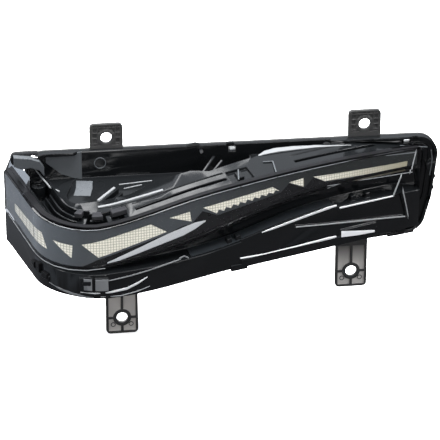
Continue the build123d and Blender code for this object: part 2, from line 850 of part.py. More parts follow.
def group_planes(spots, inset):
    """Planes facing out of the lamp, level with the middle of the LED board."""
    return [bar_plane(spot, inset, bar_height(spot, BOARD_NEAR, TRAY_FOOT, TRAY_TOP)) for spot in spots]


def rods(planes, radius, length):
    """One rod on each plane, running into the lamp when length is negative."""
    solids = []
    for plane in planes:
        with BuildPart() as rod:
            with BuildSketch(plane):
                Circle(radius)
            extrude(amount=length)
        solids.append(rod.part)
    return solids


def blocks(planes, width, length):
    """One square block on each plane."""
    solids = []
    for plane in planes:
        with BuildPart() as block:
            with BuildSketch(plane):
                Rectangle(width, width)
            extrude(amount=length)
        solids.append(block.part)
    return solids


board_screw_parts = []
for name, (start, stop, count) in GROUPS.items():
    pitch = (stop - start - 2 * REFLECTOR_END) / count
    led_spots = [start + REFLECTOR_END + (i + 0.5) * pitch for i in range(count)]
    screw_spots = [start + REFLECTOR_END / 2, stop - REFLECTOR_END / 2]
    bores = rods(
        group_planes(screw_spots, SPREADER_FAR + 1),
        BOARD_SCREW_D / 2 + FIT / 2,
        SPREADER_FAR + 2 - REFLECTOR_NEAR - REFLECTOR_WALL,
    )
    led_holes = blocks(group_planes(led_spots, REFLECTOR_FAR + 1), LED_W + 3 * FIT, 3 * REFLECTOR_WALL)
    tray = group_strip(REFLECTOR_NEAR, REFLECTOR_FAR, start, stop, 0)
    tray_hollow = group_strip(
        REFLECTOR_NEAR - 1,
        REFLECTOR_FAR - REFLECTOR_WALL,
        start + REFLECTOR_END,
        stop - REFLECTOR_END,
        REFLECTOR_WALL,
    )
    with BuildPart() as reflector:
        add(tray)
        for tool in [tray_hollow] + led_holes + bores:
            add(tool, mode=Mode.SUBTRACT)
    keep(reflector.part, f"reflector_{name}")

    board_strip = group_strip(BOARD_NEAR, BOARD_NEAR + BOARD_T, start, stop, 0)
    with BuildPart() as led_board:
        add(board_strip)
        for tool in bores:
            add(tool, mode=Mode.SUBTRACT)
    keep(led_board.part, f"led_board_{name}")

    led_blocks = blocks(group_planes(led_spots, BOARD_NEAR), LED_W, LED_H)
    with BuildPart() as leds:
        for block in led_blocks:
            add(block)
    keep(leds.part, f"leds_{name}")

    spreader_strip = group_strip(SPREADER_NEAR, SPREADER_FAR, start, stop, 0)
    with BuildPart() as heat_spreader:
        add(spreader_strip)
        for tool in bores:
            add(tool, mode=Mode.SUBTRACT)
    keep(heat_spreader.part, f"heat_spreader_{name}")

    shanks = rods(
        group_planes(screw_spots, SPREADER_FAR + FIT),
        BOARD_SCREW_D / 2,
        SPREADER_FAR - REFLECTOR_NEAR - 2 * REFLECTOR_WALL,
    )
    heads = rods(group_planes(screw_spots, SPREADER_FAR + FIT), BOARD_SCREW_HEAD_D / 2, -BOARD_SCREW_HEAD_H)
    for shank, head in zip(shanks, heads):
        board_screw_parts.append(shank + head)

with BuildPart() as board_screws:
    for screw in board_screw_parts:
        add(screw)
keep(board_screws.part, "board_screws")

# Rear housing: flange, pan and four ribbed tabs
UPPER_HOLES = [(-HOLE_SPACING / 2, 0), (HOLE_SPACING / 2, 0)]
LOWER_HOLES = [LOWER_LEFT_HOLE, LOWER_RIGHT_HOLE]
BACK = Vector(0, 1, 0)
WALL_BACK = PAN_DEPTH
WALL_IN = PAN_DEPTH - PAN_WALL


def rear_plane(y):
    """Plane at depth y, its normal to the back."""
    return Plane((0, y, 0), x_dir=(-1, 0, 0), z_dir=(0, 1, 0))


def from_back(spot):
    """A front-view spot in the coordinates of a rear plane."""
    return (-spot[0], spot[1])


def tab_area(hole, root, end):
    """Tab outline with its free end rounded; root and end are heights from the hole."""
    with BuildSketch(Plane.XZ) as area:
        with Locations((hole[0], hole[1] + (root + end) / 2)):
            RectangleRounded(TAB_W, abs(end - root), TAB_CORNER_R)
    return area.sketch


def waffle_area(hole):
    """Square cells between the rim and the boss of an upper tab."""
    low = FLANGE_TOP_LEFT + TAB_RIM
    high = TAB_END - TAB_RIM
    with BuildSketch(Plane.XZ) as area:
        with Locations((hole[0], (low + high) / 2)):
            with GridLocations(TAB_RIB_PITCH, TAB_RIB_PITCH, 5, 5):
                Rectangle(TAB_RIB_PITCH - TAB_RIB, TAB_RIB_PITCH - TAB_RIB)
        with Locations((hole[0], (low + high) / 2)):
            Rectangle(TAB_W - 2 * TAB_RIM, high - low, mode=Mode.INTERSECT)
        with Locations(hole):
            Circle(TAB_BOSS_D / 2, mode=Mode.SUBTRACT)
    return area.sketch


def cross_area(hole, root):
    """Recess of a lower tab, parted by an upright rib and a level rib through the boss."""
    low = hole[1] - LOWER_TAB_END + TAB_RIM
    high = hole[1] + root
    with BuildSketch(Plane.XZ) as area:
        with Locations((hole[0], (low + high) / 2)):
            Rectangle(TAB_W - 2 * TAB_RIM, high - low)
            Rectangle(2 * TAB_RIB, high - low, mode=Mode.SUBTRACT)
        with Locations(hole):
            Rectangle(TAB_W, 2 * TAB_RIB, mode=Mode.SUBTRACT)
            Circle(TAB_BOSS_D / 2, mode=Mode.SUBTRACT)
    return area.sketch


tab_areas = [tab_area(hole, -TAB_ROOT, TAB_END) for hole in UPPER_HOLES]
tab_areas += [tab_area(hole, LOWER_TAB_ROOT, -LOWER_TAB_END) for hole in LOWER_HOLES]
recess_areas = [waffle_area(hole) for hole in UPPER_HOLES]
recess_areas += [cross_area(hole, LOWER_RECESS) for hole in LOWER_HOLES]
flange_face = flange_area(0, 0)
ear_back = ear_area(0)
pan_mouth = flange_area(PAN_INSET, 0)
pan_inner_mouth = flange_area(PAN_INSET + PAN_WALL, 0)
with BuildPart() as pan_inside:
    extrude(pan_inner_mouth, amount=WALL_IN, dir=BACK, taper=PAN_DRAFT)
    fillet(faces().sort_by(Axis.Y)[-1].edges(), PAN_EDGE_R - PAN_WALL)

with BuildPart() as pan_outside:
    extrude(pan_mouth, amount=WALL_BACK, dir=BACK, taper=PAN_DRAFT)
    fillet(faces().sort_by(Axis.Y)[-1].edges(), PAN_EDGE_R)

driver_spots = [
    (
        DRIVER_AT[0] + i * (DRIVER_W / 2 - DRIVER_SCREW_INSET),
        DRIVER_AT[1] + j * (DRIVER_H / 2 - DRIVER_SCREW_INSET),
    )
    for i in (-1, 1)
    for j in (-1, 1)
]
with BuildPart() as rear_housing:
    add(pan_outside.part)
    extrude(flange_face, amount=FLANGE_T, dir=BACK)
    extrude(ear_back, amount=FLANGE_T, dir=BACK)
    add(bar_seat, mode=Mode.SUBTRACT)
    for area in tab_areas:
        extrude(area, amount=TAB_T, dir=BACK)
    with BuildSketch(rear_plane(WALL_BACK - PAN_WALL / 2)):
        for x in RIB_X:
            with Locations(from_back((x, RIB_Z))):
                Rectangle(RIB_T, RIB_LEN)
    extrude(amount=RIB_RISE + PAN_WALL / 2)
    with BuildSketch(rear_plane(WALL_BACK)):
        with Locations(from_back(VENT_AT)):
            Circle(VENT_STUB_D / 2)
    extrude(amount=VENT_STUB_LEN)
    add(pan_inside.part, mode=Mode.SUBTRACT)
    with BuildSketch(rear_plane(WALL_IN - SCREW_LEN / 2)):
        with Locations(*[from_back(spot) for spot in driver_spots]):
            Circle(SCREW_BOSS_D / 2)
    extrude(amount=SCREW_LEN / 2 + PAN_WALL / 2)
    for area in recess_areas:
        extrude(area, amount=TAB_RECESS, dir=BACK, mode=Mode.SUBTRACT)
    with BuildSketch(Plane.XZ):
        with Locations(*UPPER_HOLES, *LOWER_HOLES):
            Circle(HOLE_D / 2)
        with Locations(*SCREW_SPOTS):
            Circle(SCREW_D / 2 + SCREW_CLEAR)
        with Locations(*SLOT_SPOTS):
            Rectangle(SLOT_W, SLOT_H)
    extrude(amount=-TAB_T, mode=Mode.SUBTRACT)
    with BuildSketch(rear_plane(0)):
        with Locations(from_back(DRIVER_AT)):
            RectangleRounded(DRIVER_OPEN_W, DRIVER_OPEN_H, DRIVER_R)
        with Locations(from_back(SOCKET_AT)):
            Rectangle(SOCKET_W - 2 * SOCKET_PLUG + 2 * FIT, SOCKET_H - 2 * SOCKET_PLUG + 2 * FIT)
        with Locations(from_back(VENT_AT)):
            Circle(VENT_BORE / 2)
        with Locations(*[from_back(spot) for spot in driver_spots]):
            Circle(SCREW_D / 2 + FIT / 2)
    extrude(amount=2 * PAN_DEPTH, mode=Mode.SUBTRACT)
keep(rear_housing.part, "rear_housing")

# Seal between cover and housing
seal_area = flange_area(SEAL_NEAR, PLATE_REAR) - flange_area(SEAL_NEAR + SEAL_W, PLATE_REAR)
with BuildPart() as housing_seal:
    extrude(seal_area, amount=SEAL_T, dir=BACK)
keep(housing_seal.part, "housing_seal")

# Cover screws, driven from behind the flange
with BuildPart() as cover_screws:
    with BuildSketch(rear_plane(PLATE_REAR - SCREW_LEN + 2 * SCREW_TIP)):
        with Locations(*[from_back(spot) for spot in SCREW_SPOTS]):
            Circle(SCREW_D / 2)
    extrude(amount=FLANGE_T - PLATE_REAR + SCREW_LEN - 2 * SCREW_TIP)
    with BuildSketch(rear_plane(FLANGE_T)):
        with Locations(*[from_back(spot) for spot in SCREW_SPOTS]):
            Circle(SCREW_HEAD_D / 2)
    extrude(amount=SCREW_HEAD_H)
    fillet(faces().group_by(Axis.Y)[-1].edges(), SCREW_HEAD_H / 3)
    with BuildSketch(rear_plane(FLANGE_T + SCREW_HEAD_H)):
        with Locations(*[from_back(spot) for spot in SCREW_SPOTS]):
            RegularPolygon(SCREW_D / 2, 6)
    extrude(amount=-SCREW_HEAD_H / 2, mode=Mode.SUBTRACT)
keep(cover_screws.part, "cover_screws")

# Driver: gasket, finned heat sink, board and screws
SINK_IN = WALL_BACK + GASKET_T
SINK_OUT = SINK_IN + DRIVER_T
BOARD_BACK = SINK_IN - POST_LEN
board_w = DRIVER_OPEN_W - 2 * BOARD_MARGIN
board_h = DRIVER_OPEN_H - 2 * BOARD_MARGIN
with BuildPart() as driver_gasket:
    with BuildSketch(rear_plane(WALL_BACK)):
        with Locations(from_back(DRIVER_AT)):
            RectangleRounded(DRIVER_W, DRIVER_H, DRIVER_R)
            RectangleRounded(DRIVER_OPEN_W, DRIVER_OPEN_H, DRIVER_R, mode=Mode.SUBTRACT)
        with Locations(*[from_back(spot) for spot in driver_spots]):
            Circle(SCREW_D / 2 + SCREW_CLEAR, mode=Mode.SUBTRACT)
    extrude(amount=GASKET_T)
keep(driver_gasket.part, "driver_gasket")

with BuildPart() as driver_heat_sink:
    with BuildSketch(rear_plane(SINK_IN)):
        with Locations(from_back(DRIVER_AT)):
            RectangleRounded(DRIVER_W, DRIVER_H, DRIVER_R)
    extrude(amount=DRIVER_T)
    with BuildSketch(rear_plane(SINK_OUT)):
        with Locations(from_back(DRIVER_AT)):
            with GridLocations((DRIVER_OPEN_W - FIN_T) / (FIN_COUNT - 1), 0, FIN_COUNT, 1):
                Rectangle(FIN_T, DRIVER_H - 2 * DRIVER_R)
    extrude(amount=FIN_RISE)
    with BuildSketch(rear_plane(SINK_IN)):
        with Locations(from_back(DRIVER_AT)):
            with GridLocations(board_w - 2 * POST_D, board_h - POST_D, 2, 2):
                Circle(POST_D / 2)
    extrude(amount=-POST_LEN)
    with BuildSketch(rear_plane(SINK_IN)):
        with Locations(*[from_back(spot) for spot in driver_spots]):
            Circle(SCREW_D / 2 + SCREW_CLEAR)
    extrude(amount=DRIVER_T, mode=Mode.SUBTRACT)
keep(driver_heat_sink.part, "driver_heat_sink")

with BuildPart() as driver_board:
    with BuildSketch(rear_plane(BOARD_BACK)):
        with Locations(from_back(DRIVER_AT)):
            Rectangle(board_w, board_h)
    extrude(amount=-BOARD_T)
    with BuildSketch(rear_plane(BOARD_BACK - BOARD_T)):
        with Locations(from_back(DRIVER_AT)):
            with GridLocations(board_w / 3, 0, 2, 1):
                Rectangle(COIL_W, COIL_W)
    extrude(amount=-COIL_RISE)
    with BuildSketch(rear_plane(BOARD_BACK - BOARD_T)):
        with Locations(from_back(DRIVER_AT)):
            with GridLocations(0, board_h - 2 * CAN_D, 1, 2):
                Circle(CAN_D / 2)
    extrude(amount=-CAN_RISE)
keep(driver_board.part, "driver_board")

with BuildPart() as driver_screws:
    with BuildSketch(rear_plane(SINK_OUT)):
        with Locations(*[from_back(spot) for spot in driver_spots]):
            Circle(SCREW_HEAD_D / 2)
    extrude(amount=SCREW_HEAD_H)
    with BuildSketch(rear_plane(SINK_OUT)):
        with Locations(*[from_back(spot) for spot in driver_spots]):
            Circle(SCREW_D / 2)
    extrude(amount=-SCREW_LEN)
    with BuildSketch(rear_plane(SINK_OUT + SCREW_HEAD_H)):
        with Locations(*[from_back(spot) for spot in driver_spots]):
            RegularPolygon(SCREW_D / 2, 6)
    extrude(amount=-SCREW_HEAD_H / 2, mode=Mode.SUBTRACT)
keep(driver_screws.part, "driver_screws")

# Connector: seal, socket and pins
FLANGE_SEAT = WALL_BACK + SEAL_T
SOCKET_FLOOR = FLANGE_SEAT + SOCKET_FLANGE_T
plug_w = SOCKET_W - 2 * SOCKET_PLUG
plug_h = SOCKET_H - 2 * SOCKET_PLUG
pin_grid = (PIN_PITCH, PIN_PITCH, PIN_COLUMNS, PIN_ROWS)
with BuildPart() as connector_seal:
    with BuildSketch(rear_plane(WALL_BACK)):
        with Locations(from_back(SOCKET_AT)):
            RectangleRounded(SOCKET_W, SOCKET_H, SOCKET_R)
            Rectangle(plug_w + 2 * FIT, plug_h + 2 * FIT, mode=Mode.SUBTRACT)
    extrude(amount=SEAL_T)
keep(connector_seal.part, "connector_seal")

with BuildPart() as connector_socket:
    with BuildSketch(rear_plane(FLANGE_SEAT)):
        with Locations(from_back(SOCKET_AT)):
            RectangleRounded(SOCKET_W + 2 * SOCKET_FLANGE, SOCKET_H + 2 * SOCKET_FLANGE, SOCKET_R)
    extrude(amount=SOCKET_FLANGE_T)
    with BuildSketch(rear_plane(SOCKET_FLOOR)):
        with Locations(from_back(SOCKET_AT)):
            RectangleRounded(SOCKET_W, SOCKET_H, SOCKET_R)
            RectangleRounded(
                SOCKET_W - 2 * SOCKET_WALL,
                SOCKET_H - 2 * SOCKET_WALL,
                SOCKET_R - SOCKET_WALL,
                mode=Mode.SUBTRACT,
            )
    extrude(amount=SOCKET_DEPTH)
    with BuildSketch(rear_plane(SOCKET_FLOOR)):
        with Locations(from_back((SOCKET_AT[0], SOCKET_AT[1] + SOCKET_H / 2 + SOCKET_WALL / 2))):
            Rectangle(SOCKET_W / 4, SOCKET_WALL + 1)
    extrude(amount=SOCKET_DEPTH / 2)
    with BuildSketch(rear_plane(FLANGE_SEAT)):
        with Locations(from_back(SOCKET_AT)):
            Rectangle(plug_w, plug_h)
    extrude(amount=-SEAL_T - PAN_WALL)
    with BuildSketch(rear_plane(0)):
        with Locations(from_back(SOCKET_AT)):
            with GridLocations(*pin_grid):
                Circle(PIN_D / 2 + FIT / 4)
    extrude(amount=2 * PAN_DEPTH, mode=Mode.SUBTRACT)
keep(connector_socket.part, "connector_socket")

with BuildPart() as connector_pins:
    with BuildSketch(rear_plane(WALL_IN - PIN_TAIL)):
        with Locations(from_back(SOCKET_AT)):
            with GridLocations(*pin_grid):
                Circle(PIN_D / 2)
    extrude(amount=PIN_TAIL + PAN_WALL + SEAL_T + SOCKET_FLANGE_T + PIN_REACH)
keep(connector_pins.part, "connector_pins")

# Breather cap over the vent stub
cap_bore = VENT_STUB_D / 2 + FIT
cap_r = cap_bore + VENT_WALL
with BuildPart() as vent_cap:
    with BuildSketch(rear_plane(WALL_BACK + VENT_WALL)):
        with Locations(from_back(VENT_AT)):
            Circle(cap_r)
    extrude(amount=VENT_STUB_LEN)
    fillet(faces().sort_by(Axis.Y)[-1].edges(), VENT_WALL / 2)
    with BuildSketch(rear_plane(WALL_BACK)):
        with Locations(from_back(VENT_AT)):
            Circle(cap_bore)
    extrude(amount=VENT_STUB_LEN, mode=Mode.SUBTRACT)
    with BuildSketch(rear_plane(WALL_BACK)):
        with Locations(from_back(VENT_AT)):
            Rectangle(2 * cap_r, VENT_WALL)
            Rectangle(VENT_WALL, 2 * cap_r)
            Circle(cap_bore - VENT_WALL, mode=Mode.SUBTRACT)
    extrude(amount=2 * VENT_WALL, mode=Mode.SUBTRACT)
keep(vent_cap.part, "vent_cap")
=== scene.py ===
import math

import bpy
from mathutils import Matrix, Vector


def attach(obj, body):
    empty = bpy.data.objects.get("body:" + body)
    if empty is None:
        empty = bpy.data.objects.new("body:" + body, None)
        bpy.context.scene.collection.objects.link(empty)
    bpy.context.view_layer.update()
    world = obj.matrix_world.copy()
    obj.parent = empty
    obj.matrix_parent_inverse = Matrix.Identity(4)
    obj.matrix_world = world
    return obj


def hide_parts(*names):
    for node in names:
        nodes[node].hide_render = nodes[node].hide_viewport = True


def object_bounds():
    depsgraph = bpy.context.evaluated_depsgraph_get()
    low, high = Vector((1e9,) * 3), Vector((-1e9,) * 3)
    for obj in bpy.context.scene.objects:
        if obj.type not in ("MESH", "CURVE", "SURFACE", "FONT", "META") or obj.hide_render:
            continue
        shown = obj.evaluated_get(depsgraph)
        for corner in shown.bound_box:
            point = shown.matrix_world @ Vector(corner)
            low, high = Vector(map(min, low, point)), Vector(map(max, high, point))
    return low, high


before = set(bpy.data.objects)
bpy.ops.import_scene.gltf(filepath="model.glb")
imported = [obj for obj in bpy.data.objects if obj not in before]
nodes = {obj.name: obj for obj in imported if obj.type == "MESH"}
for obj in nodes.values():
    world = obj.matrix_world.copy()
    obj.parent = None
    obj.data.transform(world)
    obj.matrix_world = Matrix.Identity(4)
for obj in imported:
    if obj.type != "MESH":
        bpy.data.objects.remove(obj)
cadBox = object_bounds()
print("frame loaded:", len(nodes), "nodes")


# small helpers for selecting and for building node trees
def pickOnly(piece):
    bpy.ops.object.select_all(action="DESELECT")
    piece.select_set(True)
    bpy.context.view_layer.objects.active = piece


def addNode(tree, kind, **values):
    node = tree.nodes.new(kind)
    for key, value in values.items():
        if hasattr(node, key):
            setattr(node, key, value)
        else:
            node.inputs[key.replace("_", " ")].default_value = value
    return node


def startGroup(name, inputs, outputs):
    tree = bpy.data.node_groups.new(name, "ShaderNodeTree")
    for label, kind, value in inputs:
        socket = tree.interface.new_socket(label, in_out="INPUT", socket_type=kind)
        socket.default_value = value
    for label, kind in outputs:
        tree.interface.new_socket(label, in_out="OUTPUT", socket_type=kind)
    return tree, tree.nodes.new("NodeGroupInput"), tree.nodes.new("NodeGroupOutput")


def startMaterial(name):
    material = bpy.data.materials.new(name)
    material.use_nodes = True
    tree = material.node_tree
    return material, tree, tree.nodes["Principled BSDF"]


# moulded surface: slow colour drift, patchy gloss and a fine mould grain
mouldLook = {
    "driftScale": 18.0, "driftDetail": 3.0, "smearScale": 60.0, "smearDetail": 5.0, "smearRoughness": 0.6,
    "grainDetail": 2.0, "glossFrom": 0.35, "glossTo": 0.65, "grainDepth": 0.0002, "edgeSamples": 6,
}


def makeMouldGroup():
    tree, source, sink = startGroup(
        "mouldSurface",
        [
            ("Colour", "NodeSocketColor", (0.02, 0.02, 0.02, 1)),
            ("Drift", "NodeSocketColor", (0.03, 0.03, 0.03, 1)),
            ("Gloss Low", "NodeSocketFloat", 0.15),
            ("Gloss High", "NodeSocketFloat", 0.3),
            ("Grain Scale", "NodeSocketFloat", 1500.0),
        ],
        [("Colour", "NodeSocketColor"), ("Roughness", "NodeSocketFloat"), ("Height", "NodeSocketFloat")],
    )
    place = addNode(tree, "ShaderNodeTexCoord")
    drift = addNode(tree, "ShaderNodeTexNoise", Scale=mouldLook["driftScale"], Detail=mouldLook["driftDetail"])
    smear = addNode(tree, "ShaderNodeTexNoise", Scale=mouldLook["smearScale"], Detail=mouldLook["smearDetail"])
    smear.inputs["Roughness"].default_value = mouldLook["smearRoughness"]
    grain = addNode(tree, "ShaderNodeTexNoise", Detail=mouldLook["grainDetail"])
    mix = addNode(tree, "ShaderNodeMix", data_type="RGBA")
    gloss = addNode(tree, "ShaderNodeMapRange", From_Min=mouldLook["glossFrom"], From_Max=mouldLook["glossTo"])
    link = tree.links.new
    for noise in (drift, smear, grain):
        link(place.outputs["Object"], noise.inputs["Vector"])
    link(source.outputs["Grain Scale"], grain.inputs["Scale"])
    link(drift.outputs["Fac"], mix.inputs["Factor"])
    link(source.outputs["Colour"], mix.inputs["A"])
    link(source.outputs["Drift"], mix.inputs["B"])
    link(smear.outputs["Fac"], gloss.inputs["Value"])
    link(source.outputs["Gloss Low"], gloss.inputs["To Min"])
    link(source.outputs["Gloss High"], gloss.inputs["To Max"])
    link(mix.outputs["Result"], sink.inputs["Colour"])
    link(gloss.outputs["Result"], sink.inputs["Roughness"])
    link(grain.outputs["Fac"], sink.inputs["Height"])
    return tree


mouldGroup = makeMouldGroup()


def mouldedMaterial(name, look):
    material, tree, shader = startMaterial(name)
    group = addNode(tree, "ShaderNodeGroup", node_tree=mouldGroup)
    group.inputs["Colour"].default_value = (*look["colour"], 1)
    group.inputs["Drift"].default_value = (*look["drift"], 1)
    group.inputs["Gloss Low"].default_value = look["gloss"][0]
    group.inputs["Gloss High"].default_value = look["gloss"][1]
    group.inputs["Grain Scale"].default_value = look["grainScale"]
    bump = addNode(tree, "ShaderNodeBump", Strength=look["grain"], Distance=mouldLook["grainDepth"])
    softEdge = addNode(tree, "ShaderNodeBevel", samples=mouldLook["edgeSamples"], Radius=look["edge"])
    tree.links.new(softEdge.outputs["Normal"], bump.inputs["Normal"])
    tree.links.new(group.outputs["Height"], bump.inputs["Height"])
    tree.links.new(bump.outputs["Normal"], shader.inputs["Normal"])
    tree.links.new(group.outputs["Colour"], shader.inputs["Base Color"])
    tree.links.new(group.outputs["Roughness"], shader.inputs["Roughness"])
    shader.inputs["Metallic"].default_value = look.get("metal", 0.0)
    shader.inputs["Specular IOR Level"].default_value = look.get("specular", 0.5)
    return material


# moulded finishes: colours, roughness range, grain and the width of softened edges in metres
looks = {
    "coverBlack": {
        "colour": (0.003, 0.0035, 0.004), "drift": (0.006, 0.0065, 0.007),
        "gloss": (0.07, 0.17), "grainScale": 900.0, "grain": 0.03, "edge": 0.0009,
    },
    "maskGrey": {
        "colour": (0.052, 0.058, 0.063), "drift": (0.066, 0.072, 0.077),
        "gloss": (0.34, 0.46), "grainScale": 2600.0, "grain": 0.1, "edge": 0.0004,
    },
    # grey for small panels, rings and lines; on the pocket patch it is a painted reflection
    "coverGreyAndPaintedReflection": {
        "colour": (0.05, 0.055, 0.06), "drift": (0.07, 0.075, 0.08),
        "gloss": (0.25, 0.38), "grainScale": 1800.0, "grain": 0.08, "edge": 0.0004,
    },
    # painted reflection: the sheen on the shelf top under the bar
    "paintedSheenGrey": {
        "colour": (0.01, 0.0115, 0.013), "drift": (0.014, 0.016, 0.018),
        "gloss": (0.3, 0.42), "grainScale": 1800.0, "grain": 0.08, "edge": 0.0002, "specular": 0.22,
    },
    # painted highlight: silver for highlight lines, lit clip faces and the lit struts
    "paintedHighlightSilver": {
        "colour": (0.13, 0.135, 0.14), "drift": (0.18, 0.185, 0.19),
        "gloss": (0.24, 0.38), "grainScale": 2200.0, "grain": 0.05, "edge": 0.0003,
    },
    # painted highlight: grey for thin highlight lines on edges
    "paintedHighlightGrey": {
        "colour": (0.24, 0.25, 0.255), "drift": (0.3, 0.31, 0.315),
        "gloss": (0.16, 0.28), "grainScale": 2200.0, "grain": 0.05, "edge": 0.0003,
    },
    "bezelBlack": {
        "colour": (0.003, 0.003, 0.0035), "drift": (0.005, 0.005, 0.005),
        "gloss": (0.26, 0.3), "grainScale": 1200.0, "grain": 0.0, "edge": 0.0002, "specular": 0.25,
    },
    # painted shade: black for the strip over the bar's top edge
    "paintedShadeBlack": {
        "colour": (0.004, 0.004, 0.0045), "drift": (0.008, 0.008, 0.009),
        "gloss": (0.35, 0.45), "grainScale": 1800.0, "grain": 0.05, "edge": 0.0003, "specular": 0.25,
    },
    # painted highlight: pale for the brightest highlight lines and the streak on the bezel
    "paintedHighlightPale": {
        "colour": (0.62, 0.62, 0.62), "drift": (0.52, 0.53, 0.54),
        "gloss": (0.22, 0.34), "grainScale": 2400.0, "grain": 0.05, "edge": 0.0003,
    },
    "rubberBlack": {
        "colour": (0.015, 0.015, 0.016), "drift": (0.03, 0.03, 0.03),
        "gloss": (0.6, 0.8), "grainScale": 3000.0, "grain": 0.3, "edge": 0.0005, "specular": 0.3,
    },
    "socketBlack": {
        "colour": (0.012, 0.012, 0.014), "drift": (0.022, 0.022, 0.024),
        "gloss": (0.35, 0.5), "grainScale": 2400.0, "grain": 0.2, "edge": 0.0005,
    },
    # white of the reflectors; also painted light on the outer block face and in the flange slots
    "reflectorWhiteAndPaintedLight": {
        "colour": (0.78, 0.79, 0.8), "drift": (0.7, 0.71, 0.72),
        "gloss": (0.2, 0.35), "grainScale": 2000.0, "grain": 0.05, "edge": 0.0004,
    },
    "boardGreen": {
        "colour": (0.012, 0.07, 0.03), "drift": (0.02, 0.1, 0.045),
        "gloss": (0.25, 0.4), "grainScale": 3000.0, "grain": 0.1, "edge": 0.0003,
    },
    "ledYellow": {
        "colour": (0.85, 0.62, 0.08), "drift": (0.8, 0.55, 0.06),
        "gloss": (0.3, 0.4), "grainScale": 4000.0, "grain": 0.1, "edge": 0.0003,
    },
    "screwSteel": {
        "colour": (0.42, 0.42, 0.43), "drift": (0.3, 0.3, 0.31),
        "gloss": (0.25, 0.4), "grainScale": 2500.0, "grain": 0.1, "edge": 0.0003, "metal": 1.0,
    },
    "sinkAlu": {
        "colour": (0.62, 0.63, 0.64), "drift": (0.5, 0.51, 0.52),
        "gloss": (0.35, 0.5), "grainScale": 2000.0, "grain": 0.25, "edge": 0.0005, "metal": 1.0,
    },
    "pinBrass": {
        "colour": (0.72, 0.5, 0.2), "drift": (0.6, 0.42, 0.16),
        "gloss": (0.2, 0.3), "grainScale": 3000.0, "grain": 0.05, "edge": 0.0002, "metal": 1.0,
    },
}
materials = {name: mouldedMaterial(name, look) for name, look in looks.items()}


# a fade between the moulded colour and a second one along an axis of the part
def fadeColour(material, look):
    tree = material.node_tree
    shader = tree.nodes["Principled BSDF"]
    held = shader.inputs["Base Color"].links[0].from_socket
    place = addNode(tree, "ShaderNodeTexCoord")
    parts = addNode(tree, "ShaderNodeSeparateXYZ")
    mix = addNode(tree, "ShaderNodeMix", data_type="RGBA")
    mix.inputs["B"].default_value = (*look["second"], 1)
    tree.links.new(place.outputs["Object"], parts.inputs["Vector"])
    amount = None
    for axis, start, stop in look["ramps"]:
        ramp = addNode(tree, "ShaderNodeMapRange", From_Min=start, From_Max=stop)
        tree.links.new(parts.outputs[axis], ramp.inputs["Value"])
        if amount is None:
            amount = ramp.outputs["Result"]
        else:
            both = addNode(tree, "ShaderNodeMath", operation="MULTIPLY")
            tree.links.new(amount, both.inputs[0])
            tree.links.new(ramp.outputs["Result"], both.inputs[1])
            amount = both.outputs["Value"]
    tree.links.new(amount, mix.inputs["Factor"])
    tree.links.new(held, mix.inputs["A"])
    tree.links.new(mix.outputs["Result"], shader.inputs["Base Color"])
    return material


# housing: dark filled plastic, paler in the webs of the two lower tabs
housingLook = {
    "colour": (0.028, 0.028, 0.029), "drift": (0.045, 0.044, 0.042),
    "second": (0.5, 0.475, 0.45), "ramps": [("Z", -0.118, -0.14), ("Y", 0.0006, 0.0011)],
    "gloss": (0.34, 0.5), "grainScale": 1800.0, "grain": 0.22, "edge": 0.0008,
}
materials["housingGrey"] = fadeColour(mouldedMaterial("housingGrey", housingLook), housingLook)

# mask: painted reflection, lighter at the corner, darker towards the outer end of the arm
maskReflectionFade = {"second": (0.012, 0.014, 0.013), "ramps": [("X", -0.08, 0.06)]}
fadeColour(materials["maskGrey"], maskReflectionFade)


# optics: cream diffuser with a fine square pattern of pillows
def makeOpticMaterial():
    look = {
        "colour": (0.86, 0.82, 0.7), "line": (0.36, 0.33, 0.25), "pitch": 0.0025,
        "second": (0.34, 0.31, 0.22), "ramps": [("X", 0.07, 0.15)], "glow": 0.12,
        "lineShare": 0.12, "lineBlur": 0.6, "dimCell": 0.94, "dent": 0.4, "dentDepth": 0.0004, "roughness": 0.3,
    }
    material, tree, shader = startMaterial("opticCream")
    place = addNode(tree, "ShaderNodeTexCoord")
    cells = addNode(tree, "ShaderNodeTexBrick", offset=0.0, squash=1.0)
    cells.inputs["Scale"].default_value = 1.0
    cells.inputs["Brick Width"].default_value = look["pitch"]
    cells.inputs["Row Height"].default_value = look["pitch"]
    cells.inputs["Mortar Size"].default_value = look["pitch"] * look["lineShare"]
    cells.inputs["Mortar Smooth"].default_value = look["lineBlur"]
    cells.inputs["Color1"].default_value = (*look["colour"], 1)
    cells.inputs["Color2"].default_value = (*[c * look["dimCell"] for c in look["colour"]], 1)
    cells.inputs["Mortar"].default_value = (*look["line"], 1)
    turn = addNode(tree, "ShaderNodeMapping")
    turn.inputs["Rotation"].default_value = (math.radians(90), 0, 0)
    bump = addNode(tree, "ShaderNodeBump", Strength=look["dent"], Distance=look["dentDepth"], invert=True)
    tree.links.new(place.outputs["Object"], turn.inputs["Vector"])
    tree.links.new(turn.outputs["Vector"], cells.inputs["Vector"])
    tree.links.new(cells.outputs["Color"], shader.inputs["Base Color"])
    tree.links.new(cells.outputs["Fac"], bump.inputs["Height"])
    tree.links.new(bump.outputs["Normal"], shader.inputs["Normal"])
    shader.inputs["Roughness"].default_value = look["roughness"]
    fadeColour(material, look)
    tree.links.new(shader.inputs["Base Color"].links[0].from_socket, shader.inputs["Emission Color"])
    shader.inputs["Emission Strength"].default_value = look["glow"]  # light caught by the diffuser
    return material


